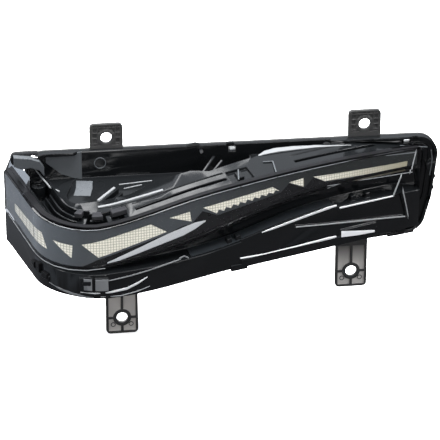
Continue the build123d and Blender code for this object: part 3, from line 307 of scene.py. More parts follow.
# lens: clear outer shell with a light smoke, open to shadow, diffuse and inner glossy rays
def makeLensMaterial():
    look = {
        "tint": (0.98, 0.985, 0.99), "rim": (0.02, 0.02, 0.022), "rimFrom": 0.45, "rimTo": 0.75,
        "roughness": 0.03, "ior": 1.49,
    }
    material, tree, shader = startMaterial("lensSmoke")
    shape = addNode(tree, "ShaderNodeNewGeometry")
    parts = addNode(tree, "ShaderNodeSeparateXYZ")
    upper = addNode(tree, "ShaderNodeMapRange", From_Min=look["rimFrom"], From_Max=look["rimTo"])  # painted shade on the upward-facing rim faces
    rimShade = addNode(tree, "ShaderNodeMix", data_type="RGBA")
    rimShade.inputs["A"].default_value = (*look["tint"], 1)
    rimShade.inputs["B"].default_value = (*look["rim"], 1)
    tree.links.new(shape.outputs["True Normal"], parts.inputs["Vector"])
    tree.links.new(parts.outputs["Z"], upper.inputs["Value"])
    tree.links.new(upper.outputs["Result"], rimShade.inputs["Factor"])
    tree.links.new(rimShade.outputs["Result"], shader.inputs["Base Color"])
    shader.inputs["Roughness"].default_value = look["roughness"]
    shader.inputs["IOR"].default_value = look["ior"]
    shader.inputs["Transmission Weight"].default_value = 1.0
    clear = addNode(tree, "ShaderNodeBsdfTransparent")
    clear.inputs["Color"].default_value = (*look["tint"], 1)
    path = addNode(tree, "ShaderNodeLightPath")
    mix = addNode(tree, "ShaderNodeMixShader")
    out = tree.nodes["Material Output"]
    inner = addNode(tree, "ShaderNodeMath", operation="SUBTRACT", use_clamp=True)
    bounce = addNode(tree, "ShaderNodeMath", operation="MAXIMUM")
    seeThrough = addNode(tree, "ShaderNodeMath", operation="MAXIMUM")
    tree.links.new(path.outputs["Is Glossy Ray"], inner.inputs[0])
    tree.links.new(path.outputs["Is Transmission Ray"], inner.inputs[1])
    tree.links.new(inner.outputs["Value"], bounce.inputs[0])
    tree.links.new(path.outputs["Is Diffuse Ray"], bounce.inputs[1])
    tree.links.new(bounce.outputs["Value"], seeThrough.inputs[0])
    tree.links.new(path.outputs["Is Shadow Ray"], seeThrough.inputs[1])
    tree.links.new(seeThrough.outputs["Value"], mix.inputs["Fac"])
    tree.links.new(shader.outputs["BSDF"], mix.inputs[1])
    tree.links.new(clear.outputs["BSDF"], mix.inputs[2])
    tree.links.new(mix.outputs["Shader"], out.inputs["Surface"])
    return material


materials["opticCream"] = makeOpticMaterial()
materials["lensSmoke"] = makeLensMaterial()
print("materials:", len(materials))

# the bar's line in plan and the lean of its height lines, as in the CAD (mm and degrees)
barLine = {
    "sideX": -204.2, "sideLength": 52.0, "sideTurn": -74.0, "cornerRadius": 58.0, "cornerTurn": 81.0,
    "armRadius": 1100.0, "lineY": -100.0, "lean": 9.5,
}


def ahead(turn):
    return Vector((math.cos(turn), math.sin(turn)))


def inside(turn):
    return Vector((-math.sin(turn), math.cos(turn)))


def barTurn(along):
    start = math.radians(barLine["sideTurn"])
    corner = math.radians(barLine["cornerTurn"])
    bend = min(max(along / barLine["cornerRadius"], 0), corner)
    past = max(along - corner * barLine["cornerRadius"], 0)
    return start + bend + past / barLine["armRadius"]


def barSpot(along, inset, lineZ):
    first = math.radians(barLine["sideTurn"])
    second = first + math.radians(barLine["cornerTurn"])
    turn = barTurn(along)
    sideEnd = Vector((barLine["sideX"], 0)) + ahead(first) * barLine["sideLength"]
    cornerMid = sideEnd + inside(first) * barLine["cornerRadius"]
    armMid = cornerMid + inside(second) * (barLine["armRadius"] - barLine["cornerRadius"])
    if along <= 0:
        spot = sideEnd + ahead(first) * along + inside(first) * inset
    elif turn < second:
        spot = cornerMid - inside(turn) * (barLine["cornerRadius"] - inset)
    else:
        spot = armMid - inside(turn) * (barLine["armRadius"] - inset)
    rise = (spot.y - barLine["lineY"]) * math.tan(math.radians(barLine["lean"]))
    return Vector((spot.x, spot.y, lineZ + rise)) / 1000


# a finished piece: rounded edges, finish, and a place on the one body
edgeAngle = math.radians(35)  # sharper folds than this are rounded


def finishPiece(piece, look):
    pickOnly(piece)
    bevel = piece.modifiers.new("edge", "BEVEL")
    bevel.width = look["edge"]
    bevel.segments = look.get("rounds", 2)
    bevel.limit_method = "ANGLE"
    bevel.angle_limit = edgeAngle
    bevel.use_clamp_overlap = False
    bevel.harden_normals = True
    bpy.ops.object.shade_smooth_by_angle(angle=edgeAngle)
    bpy.ops.object.modifier_apply(modifier=bevel.name)
    piece.data.materials.append(materials[look["finish"]])
    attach(piece, "root")
    return piece


# a strip swept along the bar line or through points of the part: a flat section, extruded from stop to stop
def sweepStrip(name, look):
    if look.get("straight"):
        stops = [Vector(stop[:3]) / 1000 for stop in look["stops"]]
        whole = stops[-1] - stops[0]
        turns = [look.get("turn", math.atan2(whole.y, whole.x))] * len(stops)
    else:
        stops = [barSpot(*stop[:3]) for stop in look["stops"]]
        turns = [barTurn(stop[0]) for stop in look["stops"]]
    talls = [stop[3] / 1000 for stop in look["stops"]]
    tip = 0 if look.get("upright") else math.pi / 2
    lean = -math.radians(look.get("lean", 0))
    bpy.ops.object.select_all(action="DESELECT")
    bpy.ops.mesh.primitive_plane_add(size=1, location=stops[0], rotation=(tip, lean, turns[0] + math.pi / 2))
    piece = bpy.context.object
    piece.name = name
    piece.scale = (look["deep"] / 1000, talls[0], 1)
    bpy.ops.object.transform_apply(location=True, rotation=True, scale=True)
    bpy.ops.object.mode_set(mode="EDIT")
    bpy.ops.mesh.select_all(action="SELECT")
    for k in range(1, len(stops)):
        step = stops[k] - stops[k - 1]
        size = talls[k] / talls[k - 1]
        spread = (size, size, size) if look.get("taper") else (1, 1, size)
        bpy.ops.mesh.extrude_region_move(TRANSFORM_OT_translate={"value": step})
        bpy.ops.transform.rotate(value=turns[k - 1] - turns[k], orient_axis="Z", center_override=stops[k])
        bpy.ops.transform.resize(value=spread, center_override=stops[k])
    bpy.ops.mesh.select_all(action="SELECT")
    bpy.ops.mesh.normals_make_consistent(inside=False)
    bpy.ops.object.mode_set(mode="OBJECT")
    return finishPiece(piece, look)


# finish of each CAD node, by the start of its name
finishes = {
    "front_cover": "coverBlack", "light_bar_lens": "lensSmoke", "bar_mask": "maskGrey",
    "lower_bezel": "bezelBlack", "optic_": "opticCream",
    "reflector_": "reflectorWhiteAndPaintedLight", "led_board_": "boardGreen", "leds_": "ledYellow",
    "heat_spreader_": "sinkAlu", "board_screws": "screwSteel", "rear_housing": "housingGrey",
    "housing_seal": "rubberBlack", "cover_screws": "screwSteel", "driver_gasket": "rubberBlack",
    "driver_heat_sink": "sinkAlu", "driver_board": "boardGreen", "driver_screws": "screwSteel",
    "connector_seal": "rubberBlack", "connector_socket": "socketBlack", "connector_pins": "pinBrass",
    "vent_cap": "rubberBlack",
}
for name, node in nodes.items():
    key = max((k for k in finishes if name.startswith(k)), key=len)
    node.data.materials.clear()
    node.data.materials.append(materials[finishes[key]])
print("CAD nodes finished")


# moulded shells with rounded edges, each from a merged copy of its CAD node
def roundedShell(name, look):
    bpy.ops.object.select_all(action="DESELECT")
    source = nodes[look["node"]]
    piece = bpy.data.objects.new(name, source.data.copy())
    bpy.context.scene.collection.objects.link(piece)
    for key in list(piece.data.keys()):
        del piece.data[key]
    pickOnly(piece)
    bpy.ops.object.mode_set(mode="EDIT")
    bpy.ops.mesh.select_all(action="SELECT")
    bpy.ops.mesh.remove_doubles(threshold=look["merge"])
    bpy.ops.mesh.select_mode(type="FACE")
    bpy.ops.object.mode_set(mode="OBJECT")
    for face in piece.data.polygons:  # narrow rims keep their small faces
        spot = face.center
        face.select = not any(a < spot.y < b and c < spot.z < d for a, b, c, d in look["keep"])
    bpy.ops.object.mode_set(mode="EDIT")
    bpy.ops.mesh.dissolve_limited(angle_limit=math.radians(look["flat"]))
    bpy.ops.mesh.select_mode(type="VERT")
    bpy.ops.mesh.select_all(action="SELECT")
    bpy.ops.mesh.normals_make_consistent(inside=False)
    bpy.ops.object.mode_set(mode="OBJECT")
    piece.data.materials.clear()
    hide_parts(look["node"])
    return finishPiece(piece, look)


# "keep" holds y and z ranges of the rims, in metres
shells = {
    "front_cover_shell": {
        "node": "front_cover", "merge": 0.00002, "flat": 1.0, "edge": 0.0005,
        "keep": [(-0.00805, -0.00795, -0.2, 0)],
        "finish": "coverBlack", "slot": "cover_black",
    },
    "rear_housing_shell": {
        "node": "rear_housing", "merge": 0.00002, "flat": 1.0, "edge": 0.0004,
        "keep": [(0.025, 0.0335, -0.2, -0.1), (-0.0001, 0.0001, -0.008, 0.02)],
        "finish": "housingGrey", "slot": "housing_grey",
    },
}
for name, look in shells.items():
    shell = roundedShell(name, look)
    print(name, len(shell.data.polygons), "faces")

# the faces of the two front clips get the pale silver finish, a painted reflection
clipLook = {"mid": (-134.1, -34.0), "reach": 59.2, "x": (-151, -120), "z": (-109, -92), "facing": -0.8}
cover = bpy.data.objects["front_cover_shell"]
cover.data.materials.append(materials["paintedHighlightSilver"])
for face in cover.data.polygons:
    spot = face.center * 1000
    out = math.hypot(spot.x - clipLook["mid"][0], spot.y - clipLook["mid"][1])
    inX = clipLook["x"][0] < spot.x < clipLook["x"][1]
    inZ = clipLook["z"][0] < spot.z < clipLook["z"][1]
    if inX and inZ and out > clipLook["reach"] and face.normal.y < clipLook["facing"]:
        face.material_index = 1

# top edge of the bar: (along, height line) in mm
barTop = [
    (-75, -56.2), (-50, -54.4), (-25, -52.9), (0, -51.8), (12, -51.4), (24, -50.9), (36, -50.5), (48, -50.3),
    (60, -50.2), (72, -49.9), (90, -48.4), (110, -45.0), (130, -40.8), (150, -36.7), (170, -33.4), (190, -31.1),
    (210, -29.4), (230, -28.3), (250, -27.6), (270, -27.4), (290, -27.7), (310, -28.6), (330, -30.0),
    (350, -32.0), (370, -34.4), (388.5, -36.9),
]
# beads, painted highlight lines and patches, a painted shade strip and small clips in mm: (along, inset, height line,
# tall) on the bar, (x, y, z, tall) where straight
strips = {
    # painted shade: a dark strip over the bar's top edge, where the groove behind the lens rim lies in shade
    "bar_top_trim": {
        "stops": [(along, 5.0, high + 0.15, 1.4) for along, high in barTop],
        "deep": 5.8, "edge": 0.0003, "finish": "paintedShadeBlack", "slot": "cover_black",
    },
    "bezel_glint": {
        "stops": [(81, 3.15, -84.1, 0.8), (93, 3.15, -81.2, 3.6), (114, 3.15, -74.9, 5.4), (136, 3.15, -68.3, 7.4),
                  (151, 3.15, -64.5, 7.6), (162, 3.15, -60.9, 6.2), (172, 3.15, -58.0, 0.9)],
        "deep": 0.2, "edge": 0.00004, "finish": "paintedHighlightPale", "slot": "mask_grey",
    },
    # painted highlight: the next three thin lines behind the lens outline the end of the bar
    "bar_end_line": {
        "stops": [(291, 3.15, -49.2, 0.5), (315, 3.15, -51.7, 0.6), (347, 3.15, -55.4, 0.7), (383, 3.15, -60.0, 0.9)],
        "deep": 0.2, "edge": 0.00004, "finish": "paintedHighlightGrey", "slot": "mask_grey",
    },
    "bar_end_top": {
        "stops": [(352, 3.15, -35.0, 0.5), (369, 3.15, -37.7, 0.8), (386, 3.15, -40.6, 0.9)],
        "deep": 0.2, "edge": 0.00004, "finish": "paintedHighlightGrey", "slot": "mask_grey",
    },
    "bar_end_edge": {
        "stops": [(380.1, 3.15, -59.5, 4.0), (385.6, 3.15, -39.0, 4.0)],
        "deep": 0.2, "edge": 0.00004, "finish": "paintedHighlightPale", "slot": "mask_grey",
    },
    # painted highlight: a thin line along the lens's lower rim
    "lens_foot_line": {
        "stops": [(-66, 0.0, -94.5, 0.5), (-30, 0.0, -93.85, 0.7), (0, 0.0, -93.3, 0.8), (15.5, 0.0, -92.8, 0.8),
                  (30.7, 0.0, -92.0, 0.8), (45.8, 0.0, -90.9, 0.8), (62.4, 0.0, -89.3, 0.8),
                  (78.6, 0.0, -87.5, 0.6)],
        "deep": 0.5, "edge": 0.0001, "finish": "paintedHighlightGrey", "slot": "mask_grey",
    },
    # a bead on the ridge whose silver finish is a painted highlight
    "ridge_highlight_bead": {
        "stops": [(79.7, 36.4, -50.3, 0.9), (93.9, 34.7, -49.0, 2.0), (110.7, 33.7, -46.3, 2.4),
                  (127.5, 32.6, -43.0, 2.2), (142, 32.9, -40.3, 0.9)],
        "deep": 3.4, "edge": 0.0004, "rounds": 3, "finish": "paintedHighlightSilver", "slot": "cover_black",
    },
    # painted highlight: pale lines along the shelf's front edge
    "shelf_edge_inner": {
        "stops": [(225, 0.4, -78.8, 0.9), (236, 0.4, -77.2, 2.0), (250, 0.4, -75.1, 2.2), (272, 0.4, -72.1, 2.2),
                  (290, 0.4, -70.2, 2.4), (300, 0.4, -69.7, 1.6)],
        "deep": 1.6, "edge": 0.0004, "rounds": 3, "finish": "paintedHighlightPale", "slot": "cover_black",
    },
    "shelf_edge_outer": {
        "stops": [(303, 0.0, -72.7, 1.6), (330, 0.0, -74.0, 1.5), (360, 0.0, -75.9, 1.2)],
        "deep": 1.4, "edge": 0.0004, "rounds": 3, "finish": "paintedHighlightPale", "slot": "cover_black",
    },
    # painted highlight: a grey line on the groove's end wall
    "groove_end_edge": {
        "stops": [(360.4, 0.3, -76.2, 3.0), (369, 0.3, -57.6, 2.6)],
        "deep": 1.0, "edge": 0.0002, "finish": "paintedHighlightGrey", "slot": "cover_black",
    },
    # painted highlight: a pale line on the lip at the wall's foot
    "lip_edge": {
        "stops": [(204, -0.2, -99.5, 1.0), (228, -0.2, -100.7, 1.7), (262, -0.2, -100.6, 2.3), (290, -0.2, -100.2, 2.6),
                  (300, -0.2, -100.1, 1.4)],
        "deep": 1.8, "edge": 0.0004, "rounds": 3, "finish": "paintedHighlightPale", "slot": "cover_black",
    },
    # painted highlight: grey lines outlining the wedge panel
    "wedge_low_edge": {
        "stops": [(259, 0.1, -81.0, 1.1), (294, 0.1, -86.4, 1.0), (336, 0.1, -92.9, 1.0), (374, 0.1, -100.3, 1.2)],
        "deep": 0.8, "edge": 0.0002, "finish": "paintedHighlightGrey", "slot": "cover_black",
    },
    "wedge_side_edge": {
        "stops": [(370.5, 0.1, -72.0, 5.0), (374.3, 0.1, -87.0, 5.0), (377.8, 0.1, -102.0, 4.6)],
        "deep": 0.9, "edge": 0.0002, "finish": "paintedHighlightGrey", "slot": "cover_black",
    },
    # painted highlight: the lit face of the outer block
    "outer_block_highlight": {
        "stops": [(304.5, -1.75, -98.2, 6.0), (320, -1.75, -101.2, 4.6), (340, -1.75, -104.4, 2.0)],
        "deep": 0.5, "edge": 0.0001, "finish": "reflectorWhiteAndPaintedLight", "slot": "cover_black",
    },
    # painted highlight: two lines along the rolled foot of the corner
    "corner_sweep": {
        "stops": [(56, 0.2, -111.0, 0.8), (69, 0.2, -111.6, 1.3), (84, 0.2, -111.4, 1.9), (98, 0.2, -110.0, 2.4),
                  (108, 0.2, -106.2, 2.2), (117, 0.2, -101.6, 0.9)],
        "deep": 1.2, "edge": 0.0004, "rounds": 3, "finish": "paintedHighlightPale", "slot": "cover_black",
    },
    "corner_sweep_low": {
        "stops": [(74, 0.2, -115.0, 0.6), (92, 0.2, -116.2, 1.0), (108, 0.2, -114.0, 1.0), (119, 0.2, -111.0, 0.6)],
        "deep": 1.0, "edge": 0.0002, "finish": "paintedHighlightGrey", "slot": "cover_black",
    },
    # painted highlight: silver lines on the corner shelf edge and its step
    "corner_shelf_edge": {
        "stops": [(77, -0.1, -100.2, 0.7), (87, -0.1, -99.4, 1.0), (101, -0.1, -98.0, 1.1), (119, -0.1, -95.2, 1.1),
                  (133, -0.1, -92.4, 1.3), (148, -0.1, -89.4, 0.8)],
        "deep": 1.0, "edge": 0.0002, "finish": "paintedHighlightSilver", "slot": "cover_black",
    },
    "shelf_step": {
        "stops": [(146, -0.1, -88.6, 0.9), (151, -0.1, -87.0, 1.2), (155, -0.1, -89.6, 1.6)],
        "deep": 1.0, "edge": 0.0002, "finish": "paintedHighlightSilver", "slot": "cover_black",
    },
    # painted reflection: a grey plate on the shelf top for its sheen
    "shelf_sheen": {
        "stops": [(158, 8, -89.8, 0.5), (170, 8, -88.5, 0.5), (180, 8, -87.2, 0.5), (190, 8, -85.8, 0.5),
                  (210, 8, -82.2, 0.5), (230, 8, -78.0, 0.5), (250, 8, -74.1, 0.5), (270, 8, -71.5, 0.5),
                  (290, 8, -70.6, 0.5), (299, 8, -70.6, 0.5)],
        "lean": 9.5, "deep": 13.0, "edge": 0.0001, "finish": "paintedSheenGrey", "slot": "cover_black",
    },
    "foot_tab": {
        "stops": [(195, -0.3, -107.6, 6.2), (211, -0.3, -107.8, 5.4)],
        "deep": 2.4, "edge": 0.0006, "rounds": 3, "finish": "coverBlack", "slot": "cover_black",
    },
    "end_foot": {
        "stops": [(141, -7, -109.6, 3.0), (153, -7, -108.0, 3.0), (166, -7, -106.2, 2.6)],
        "straight": True, "deep": 3.0, "edge": 0.0005, "finish": "coverBlack", "slot": "cover_black",
    },
    "edge_clip_inner": {
        "stops": [(-46, -2.8, -11.0, 2.4), (-41, -2.8, -10.0, 3.6), (-38, -2.8, -9.6, 4.0), (-34, -2.8, -10.8, 2.4)],
        "straight": True, "deep": 3.0, "edge": 0.0004, "finish": "coverBlack", "slot": "cover_black",
    },
    "edge_clip_outer": {
        "stops": [(-10, -2.8, -10.6, 2.6), (-6, -2.8, -10.2, 3.2), (-2.5, -2.8, -10.6, 2.6)],
        "straight": True, "deep": 3.0, "edge": 0.0004, "finish": "coverBlack", "slot": "cover_black",
    },
    # painted highlight: a silver band at the foot of the corner
    "foot_band": {
        "stops": [(24, 0.2, -110.8, 0.8), (36, 0.2, -112.4, 1.8), (46, 0.2, -113.4, 2.2), (56, 0.2, -114.5, 1.8),
                  (68, 0.2, -115.8, 0.8)],
        "deep": 1.0, "edge": 0.0002, "finish": "paintedHighlightSilver", "slot": "cover_black",
    },
    "clip_slot_left": {
        "stops": [(58.6, -1.75, -101.5, 4.0), (65.8, -1.75, -100.9, 4.0)],
        "deep": 0.4, "edge": 0.0001, "finish": "coverBlack", "slot": "cover_black",
    },
    "clip_slot_right": {
        "stops": [(76.2, -1.5, -99.5, 3.0), (80.2, -1.5, -99.1, 3.0)],
        "deep": 0.4, "edge": 0.0001, "finish": "coverBlack", "slot": "cover_black",
    },
    "side_clip_rear": {
        "stops": [(-1, -1.2, -103.4, 5.0), (5, -1.2, -103.0, 6.0)],
        "deep": 3.4, "edge": 0.0006, "rounds": 3, "finish": "bezelBlack", "slot": "cover_black",
    },
    "side_clip_mid": {
        "stops": [(8.5, -1.2, -101.6, 9.0), (14, -1.2, -101.4, 9.0)],
        "deep": 3.8, "edge": 0.0006, "rounds": 3, "finish": "bezelBlack", "slot": "cover_black",
    },
    "side_clip_front": {
        "stops": [(16.5, -1.2, -105.4, 6.0), (24, -1.2, -105.2, 5.0)],
        "deep": 3.4, "edge": 0.0006, "rounds": 3, "finish": "bezelBlack", "slot": "cover_black",
    },
    # painted light: white blocks in the flange slots stand in for the backdrop seen through them
    "flange_slot_left": {
        "stops": [(-6.0, 1.6, -17.2, 1.6), (0.4, 1.6, -17.2, 1.6)],
        "straight": True, "deep": 4.0, "edge": 0.0002, "finish": "reflectorWhiteAndPaintedLight", "slot": "cover_black",
    },
    "flange_slot_right": {
        "stops": [(155.4, 0.6, -18.4, 1.6), (160.6, 0.6, -18.4, 1.6)],
        "straight": True, "deep": 4.0, "edge": 0.0002, "finish": "reflectorWhiteAndPaintedLight", "slot": "cover_black",
    },
    "clip_box_left": {
        "stops": [(44, 21, -49.0, 4.4), (49, 21, -48.9, 4.4), (54, 21, -48.8, 4.4)],
        "deep": 8.0, "edge": 0.0006, "rounds": 3, "finish": "socketBlack", "slot": "cover_black",
    },
    "clip_box_mid": {
        "stops": [(67, 21.5, -50.2, 4.0), (74, 21.5, -50.1, 4.0), (81, 21.5, -50.0, 4.0)],
        "deep": 10.0, "edge": 0.0006, "rounds": 3, "finish": "socketBlack", "slot": "cover_black",
    },
    "clip_box_right": {
        "stops": [(89, 19, -47.6, 4.6), (103, 19, -45.6, 4.6)],
        "deep": 8.0, "edge": 0.0006, "rounds": 3, "finish": "socketBlack", "slot": "cover_black",
    },
    # painted highlight: a tapered silver sliver for the highlight on the rear roll
    "rear_roll_highlight": {
        "stops": [(17, -21.5, -16.2, 0.25), (24, -18.2, -15.2, 0.9), (34, -15.8, -14.5, 1.1),
                  (50, -14.2, -14.1, 1.0), (70, -12.8, -14.0, 0.65), (90, -11.8, -14.7, 0.3),
                  (104, -11.2, -15.3, 0.15)],
        "straight": True, "taper": True, "deep": 2.0, "edge": 0.0001, "finish": "paintedHighlightSilver", "slot": "cover_black",
    },
    "corner_bracket": {
        "stops": [(-203, -8, -14, 9), (-196, -8, -16, 11), (-188, -8, -16, 9), (-180, -8, -19, 9),
                  (-176, -8, -25, 9)],
        "straight": True, "turn": 0.0, "deep": 7.6, "edge": 0.0006, "rounds": 3, "finish": "coverGreyAndPaintedReflection",
        "slot": "cover_black",
    },
    # painted highlight: a silver line along the pocket's left edge
    "pocket_rail": {
        "stops": [(-186, -8, -19.5, 1.4), (-179, -9, -30, 1.4), (-171.6, -16.5, -38, 1.4), (-164, -26, -38.8, 1.4)],
        "straight": True, "deep": 1.6, "edge": 0.0003, "finish": "paintedHighlightSilver", "slot": "cover_black",
    },
    # painted reflection: a grey patch for the bright reflection on the pocket floor
    "pocket_pad": {
        "stops": [(-140, -8.5, -37.3, 0.9), (-141, -18, -40.4, 0.9), (-144, -27.5, -43.6, 0.9)],
        "straight": True, "deep": 15.0, "edge": 0.0002, "finish": "coverGreyAndPaintedReflection", "slot": "cover_black",
    },
    # painted highlight: silver outlines of the slot in the pocket
    "pocket_slot_rear": {
        "stops": [(-109.3, -15.7, -39.6, 0.8), (-79, -12.9, -38.7, 0.8)],
        "straight": True, "deep": 1.3, "edge": 0.0002, "finish": "paintedHighlightSilver", "slot": "cover_black",
    },
    "pocket_slot_front": {
        "stops": [(-105.4, -21.2, -41.4, 0.8), (-88.7, -17.4, -40.2, 0.8)],
        "straight": True, "deep": 1.3, "edge": 0.0002, "finish": "paintedHighlightSilver", "slot": "cover_black",
    },
    # a strut whose silver finish is a painted reflection
    "strut_rod": {
        "stops": [(-131.5, -46.8, -41.0, 2.8), (-114.4, -26.8, -37.9, 2.8)],
        "straight": True, "deep": 2.8, "edge": 0.0009, "rounds": 3, "finish": "paintedHighlightSilver", "slot": "cover_black",
    },
    "back_panel": {
        "stops": [(-174, -4.4, -15, 8), (-160, -4.4, -21, 20), (-148, -4.4, -23, 25), (-141.5, -4.4, -23.5, 27)],
        "straight": True, "deep": 1.0, "edge": 0.0002, "finish": "coverGreyAndPaintedReflection", "slot": "cover_black",
    },
    "snap_line_left": {
        "stops": [(-7, -60, -22.2, 0.9), (-4.6, -42, -20.2, 0.9)],
        "straight": True, "deep": 1.2, "edge": 0.0002, "finish": "coverGreyAndPaintedReflection", "slot": "cover_black",
    },
    "snap_line_rear": {
        "stops": [(19, -34, -17.5, 0.9), (28, -34.5, -17.1, 0.9)],
        "straight": True, "deep": 1.2, "edge": 0.0002, "finish": "coverGreyAndPaintedReflection", "slot": "cover_black",
    },
    "snap_line_right": {
        "stops": [(27.8, -35, -17.1, 0.9), (27.5, -55, -19.2, 0.9)],
        "straight": True, "deep": 1.2, "edge": 0.0002, "finish": "coverGreyAndPaintedReflection", "slot": "cover_black",
    },
    "end_frame_top": {
        "stops": [(150, -8.8, -19.5, 0.9), (176, -8.8, -22.5, 0.9)],
        "straight": True, "deep": 1.0, "edge": 0.0002, "finish": "coverGreyAndPaintedReflection", "slot": "cover_black",
    },
    "end_frame_side": {
        "stops": [(179, -10.2, -25, 0.9), (180.5, -10.2, -34, 0.9), (178.5, -10.2, -50, 0.9)],
        "straight": True, "upright": True, "turn": 0.0, "deep": 1.0, "edge": 0.0002, "finish": "coverGreyAndPaintedReflection",
        "slot": "cover_black",
    },
}
for name, look in strips.items():
    sweepStrip(name, look)
print("strips:", len(strips))


# thin raised rings: one on the back wall of the pocket, two ejector marks on each lower tab
def raisedRing(name, look):
    bpy.ops.object.select_all(action="DESELECT")
    upright = (math.pi / 2, 0, 0)
    bpy.ops.mesh.primitive_circle_add(vertices=40, radius=look["radius"], location=look["at"], rotation=upright)
    ring = bpy.context.object
    ring.name = name
    bpy.ops.object.transform_apply(location=True, rotation=True, scale=True)
    bpy.ops.object.mode_set(mode="EDIT")
    bpy.ops.mesh.select_all(action="SELECT")
    bpy.ops.mesh.extrude_region()
    narrow = 1 - look["wide"] / look["radius"]
    bpy.ops.transform.resize(value=(narrow, 1, narrow), center_override=look["at"])
    bpy.ops.mesh.select_all(action="SELECT")
    bpy.ops.mesh.extrude_region_move(TRANSFORM_OT_translate={"value": (0, look["deep"], 0)})
    bpy.ops.mesh.select_all(action="SELECT")
    bpy.ops.mesh.normals_make_consistent(inside=False)
    bpy.ops.object.mode_set(mode="OBJECT")
    return finishPiece(ring, look)


rings = {
    "pocket_ring": {
        "at": (-0.125, -0.0045, -0.0223), "radius": 0.0055, "wide": 0.0009, "deep": 0.0009, "edge": 0.0001,
        "finish": "coverGreyAndPaintedReflection", "slot": "cover_black",
    },
}
ejectorLook = {
    "radius": 0.0023, "wide": 0.0007, "deep": 0.0005, "edge": 0.0001, "finish": "socketBlack", "slot": "housing_grey",
}
ejectorFace = 0.0011  # the web's front face, on Y
tabMiddles = {"left": (-0.107, -0.1883), "right": (0.109, -0.1548)}
ejectorShifts = {"inner": -0.0084, "outer": 0.0084}
for side, (tabX, tabZ) in tabMiddles.items():
    for end, shift in ejectorShifts.items():
        rings["ejector_" + side + "_" + end] = {"at": (tabX + shift, ejectorFace, tabZ), **ejectorLook}
for name, look in rings.items():
    raisedRing(name, look)
print("rings:", len(rings))

# floor, light and camera
floorLook = {
    "size": 8.0, "gap": 0.0005, "colour": (0.9, 0.9, 0.9), "roughness": 0.8, "glow": 0.72,
    "mirror": (0.03, 0.03, 0.032), "side": (0.085, 0.093, 0.105), "sideFrom": -0.28, "sideTo": -0.5,
}
bpy.ops.object.select_all(action="DESELECT")
bpy.ops.mesh.primitive_plane_add(size=floorLook["size"], location=(0, 0, cadBox[0].z - floorLook["gap"]))
floor = bpy.context.object
floor.name = "floor"
floorMaterial, floorTree, floorShader = startMaterial("floorPale")
floorShader.inputs["Base Color"].default_value = (*floorLook["colour"], 1)
floorShader.inputs["Roughness"].default_value = floorLook["roughness"]
floorShader.inputs["Emission Color"].default_value = (1, 1, 1, 1)
floorShader.inputs["Emission Strength"].default_value = floorLook["glow"]
floorMirror = addNode(floorTree, "ShaderNodeBsdfDiffuse")  # what the gloss parts see, lighter to the left
floorPlace = addNode(floorTree, "ShaderNodeTexCoord")
floorParts = addNode(floorTree, "ShaderNodeSeparateXYZ")
floorRamp = addNode(floorTree, "ShaderNodeMapRange", From_Min=floorLook["sideFrom"], From_Max=floorLook["sideTo"])
floorTint = addNode(floorTree, "ShaderNodeMix", data_type="RGBA")
floorTint.inputs["A"].default_value = (*floorLook["mirror"], 1)
floorTint.inputs["B"].default_value = (*floorLook["side"], 1)
floorTree.links.new(floorPlace.outputs["Object"], floorParts.inputs["Vector"])
floorTree.links.new(floorParts.outputs["X"], floorRamp.inputs["Value"])
floorTree.links.new(floorRamp.outputs["Result"], floorTint.inputs["Factor"])
floorTree.links.new(floorTint.outputs["Result"], floorMirror.inputs["Color"])
floorPath = addNode(floorTree, "ShaderNodeLightPath")
floorMix = addNode(floorTree, "ShaderNodeMixShader")
floorTree.links.new(floorPath.outputs["Is Camera Ray"], floorMix.inputs["Fac"])
floorTree.links.new(floorMirror.outputs["BSDF"], floorMix.inputs[1])
floorTree.links.new(floorShader.outputs["BSDF"], floorMix.inputs[2])
floorTree.links.new(floorMix.outputs["Shader"], floorTree.nodes["Material Output"].inputs["Surface"])
floor.data.materials.append(floorMaterial)

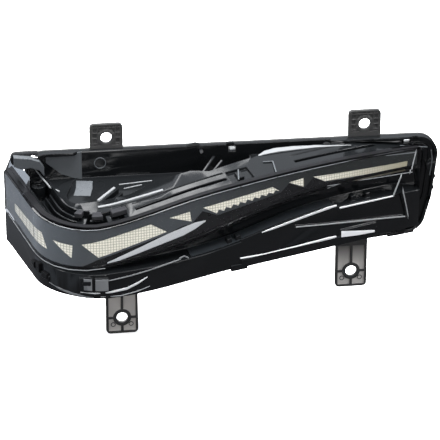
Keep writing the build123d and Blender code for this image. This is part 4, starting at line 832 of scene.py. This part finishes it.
# the wide top box stays out of the gloss
lightLook = {
    "top": {"at": (0.0, 0.0, 1.6), "aim": (0, -0.05, -0.07), "size": (1.5, 0.9), "watts": 150.0, "mirrored": False},
    "back": {"at": (-0.2, 1.4, 1.3), "aim": (0, -0.05, -0.07), "size": (0.5, 0.12), "watts": 0.9},
    "left": {"at": (-1.5, -0.7, 0.75), "aim": (-0.1, -0.05, -0.07), "size": (0.3, 1.1), "watts": 9.0},
    "right": {"at": (1.4, -0.9, 0.8), "aim": (0.1, -0.05, -0.07), "size": (0.25, 0.9), "watts": 9.0},
    "front": {"at": (0.0, -1.9, 0.2), "aim": (0, 0, -0.12), "size": (1.4, 0.4), "watts": 9.0},
}
for name, spec in lightLook.items():
    data = bpy.data.lights.new(name + "Box", "AREA")
    data.shape = "RECTANGLE"
    data.size, data.size_y = spec["size"]
    data.energy = spec["watts"]
    lamp = bpy.data.objects.new(name + "Box", data)
    lamp.location = spec["at"]
    lamp.rotation_euler = (Vector(spec["aim"]) - Vector(spec["at"])).to_track_quat("-Z", "Y").to_euler()
    bpy.context.scene.collection.objects.link(lamp)
    lamp.visible_glossy = spec.get("mirrored", True)

# studio surround: dim at eye level, brighter towards the ceiling
worldLook = {"level": (0.16, 0.17, 0.19, 1), "ceiling": (0.8, 0.85, 0.92, 1), "from": 0.1, "to": 0.7}
world = bpy.data.worlds.new("studio")
bpy.context.scene.world = world
world.use_nodes = True
sky = world.node_tree
skyPlace = addNode(sky, "ShaderNodeTexCoord")
skyParts = addNode(sky, "ShaderNodeSeparateXYZ")
skyRise = addNode(sky, "ShaderNodeMapRange", From_Min=worldLook["from"], From_Max=worldLook["to"])
skyMix = addNode(sky, "ShaderNodeMix", data_type="RGBA")
skyMix.inputs["A"].default_value = worldLook["level"]
skyMix.inputs["B"].default_value = worldLook["ceiling"]
sky.links.new(skyPlace.outputs["Generated"], skyParts.inputs["Vector"])
sky.links.new(skyParts.outputs["Z"], skyRise.inputs["Value"])
sky.links.new(skyRise.outputs["Result"], skyMix.inputs["Factor"])
sky.links.new(skyMix.outputs["Result"], sky.nodes["Background"].inputs["Color"])

cameraLook = {
    "azimuth": -8.245, "elevation": 24.0, "distance": 2.2, "target": (-0.02155, -0.045, -0.06712),
    "sensor": 36.0, "lens": 200.0,
}
turn = math.radians(cameraLook["azimuth"])
lift = math.radians(cameraLook["elevation"])
back = Vector((math.sin(turn) * math.cos(lift), -math.cos(turn) * math.cos(lift), math.sin(lift)))
cameraData = bpy.data.cameras.new("camera")
cameraData.sensor_width = cameraLook["sensor"]
cameraData.lens = cameraLook["lens"]
camera = bpy.data.objects.new("camera", cameraData)
camera.location = Vector(cameraLook["target"]) + back * cameraLook["distance"]
camera.rotation_euler = (-back).to_track_quat("-Z", "Y").to_euler()
bpy.context.scene.collection.objects.link(camera)
bpy.context.scene.camera = camera
bpy.context.scene.view_settings.view_transform = "Standard"

print("stage, light and camera set")
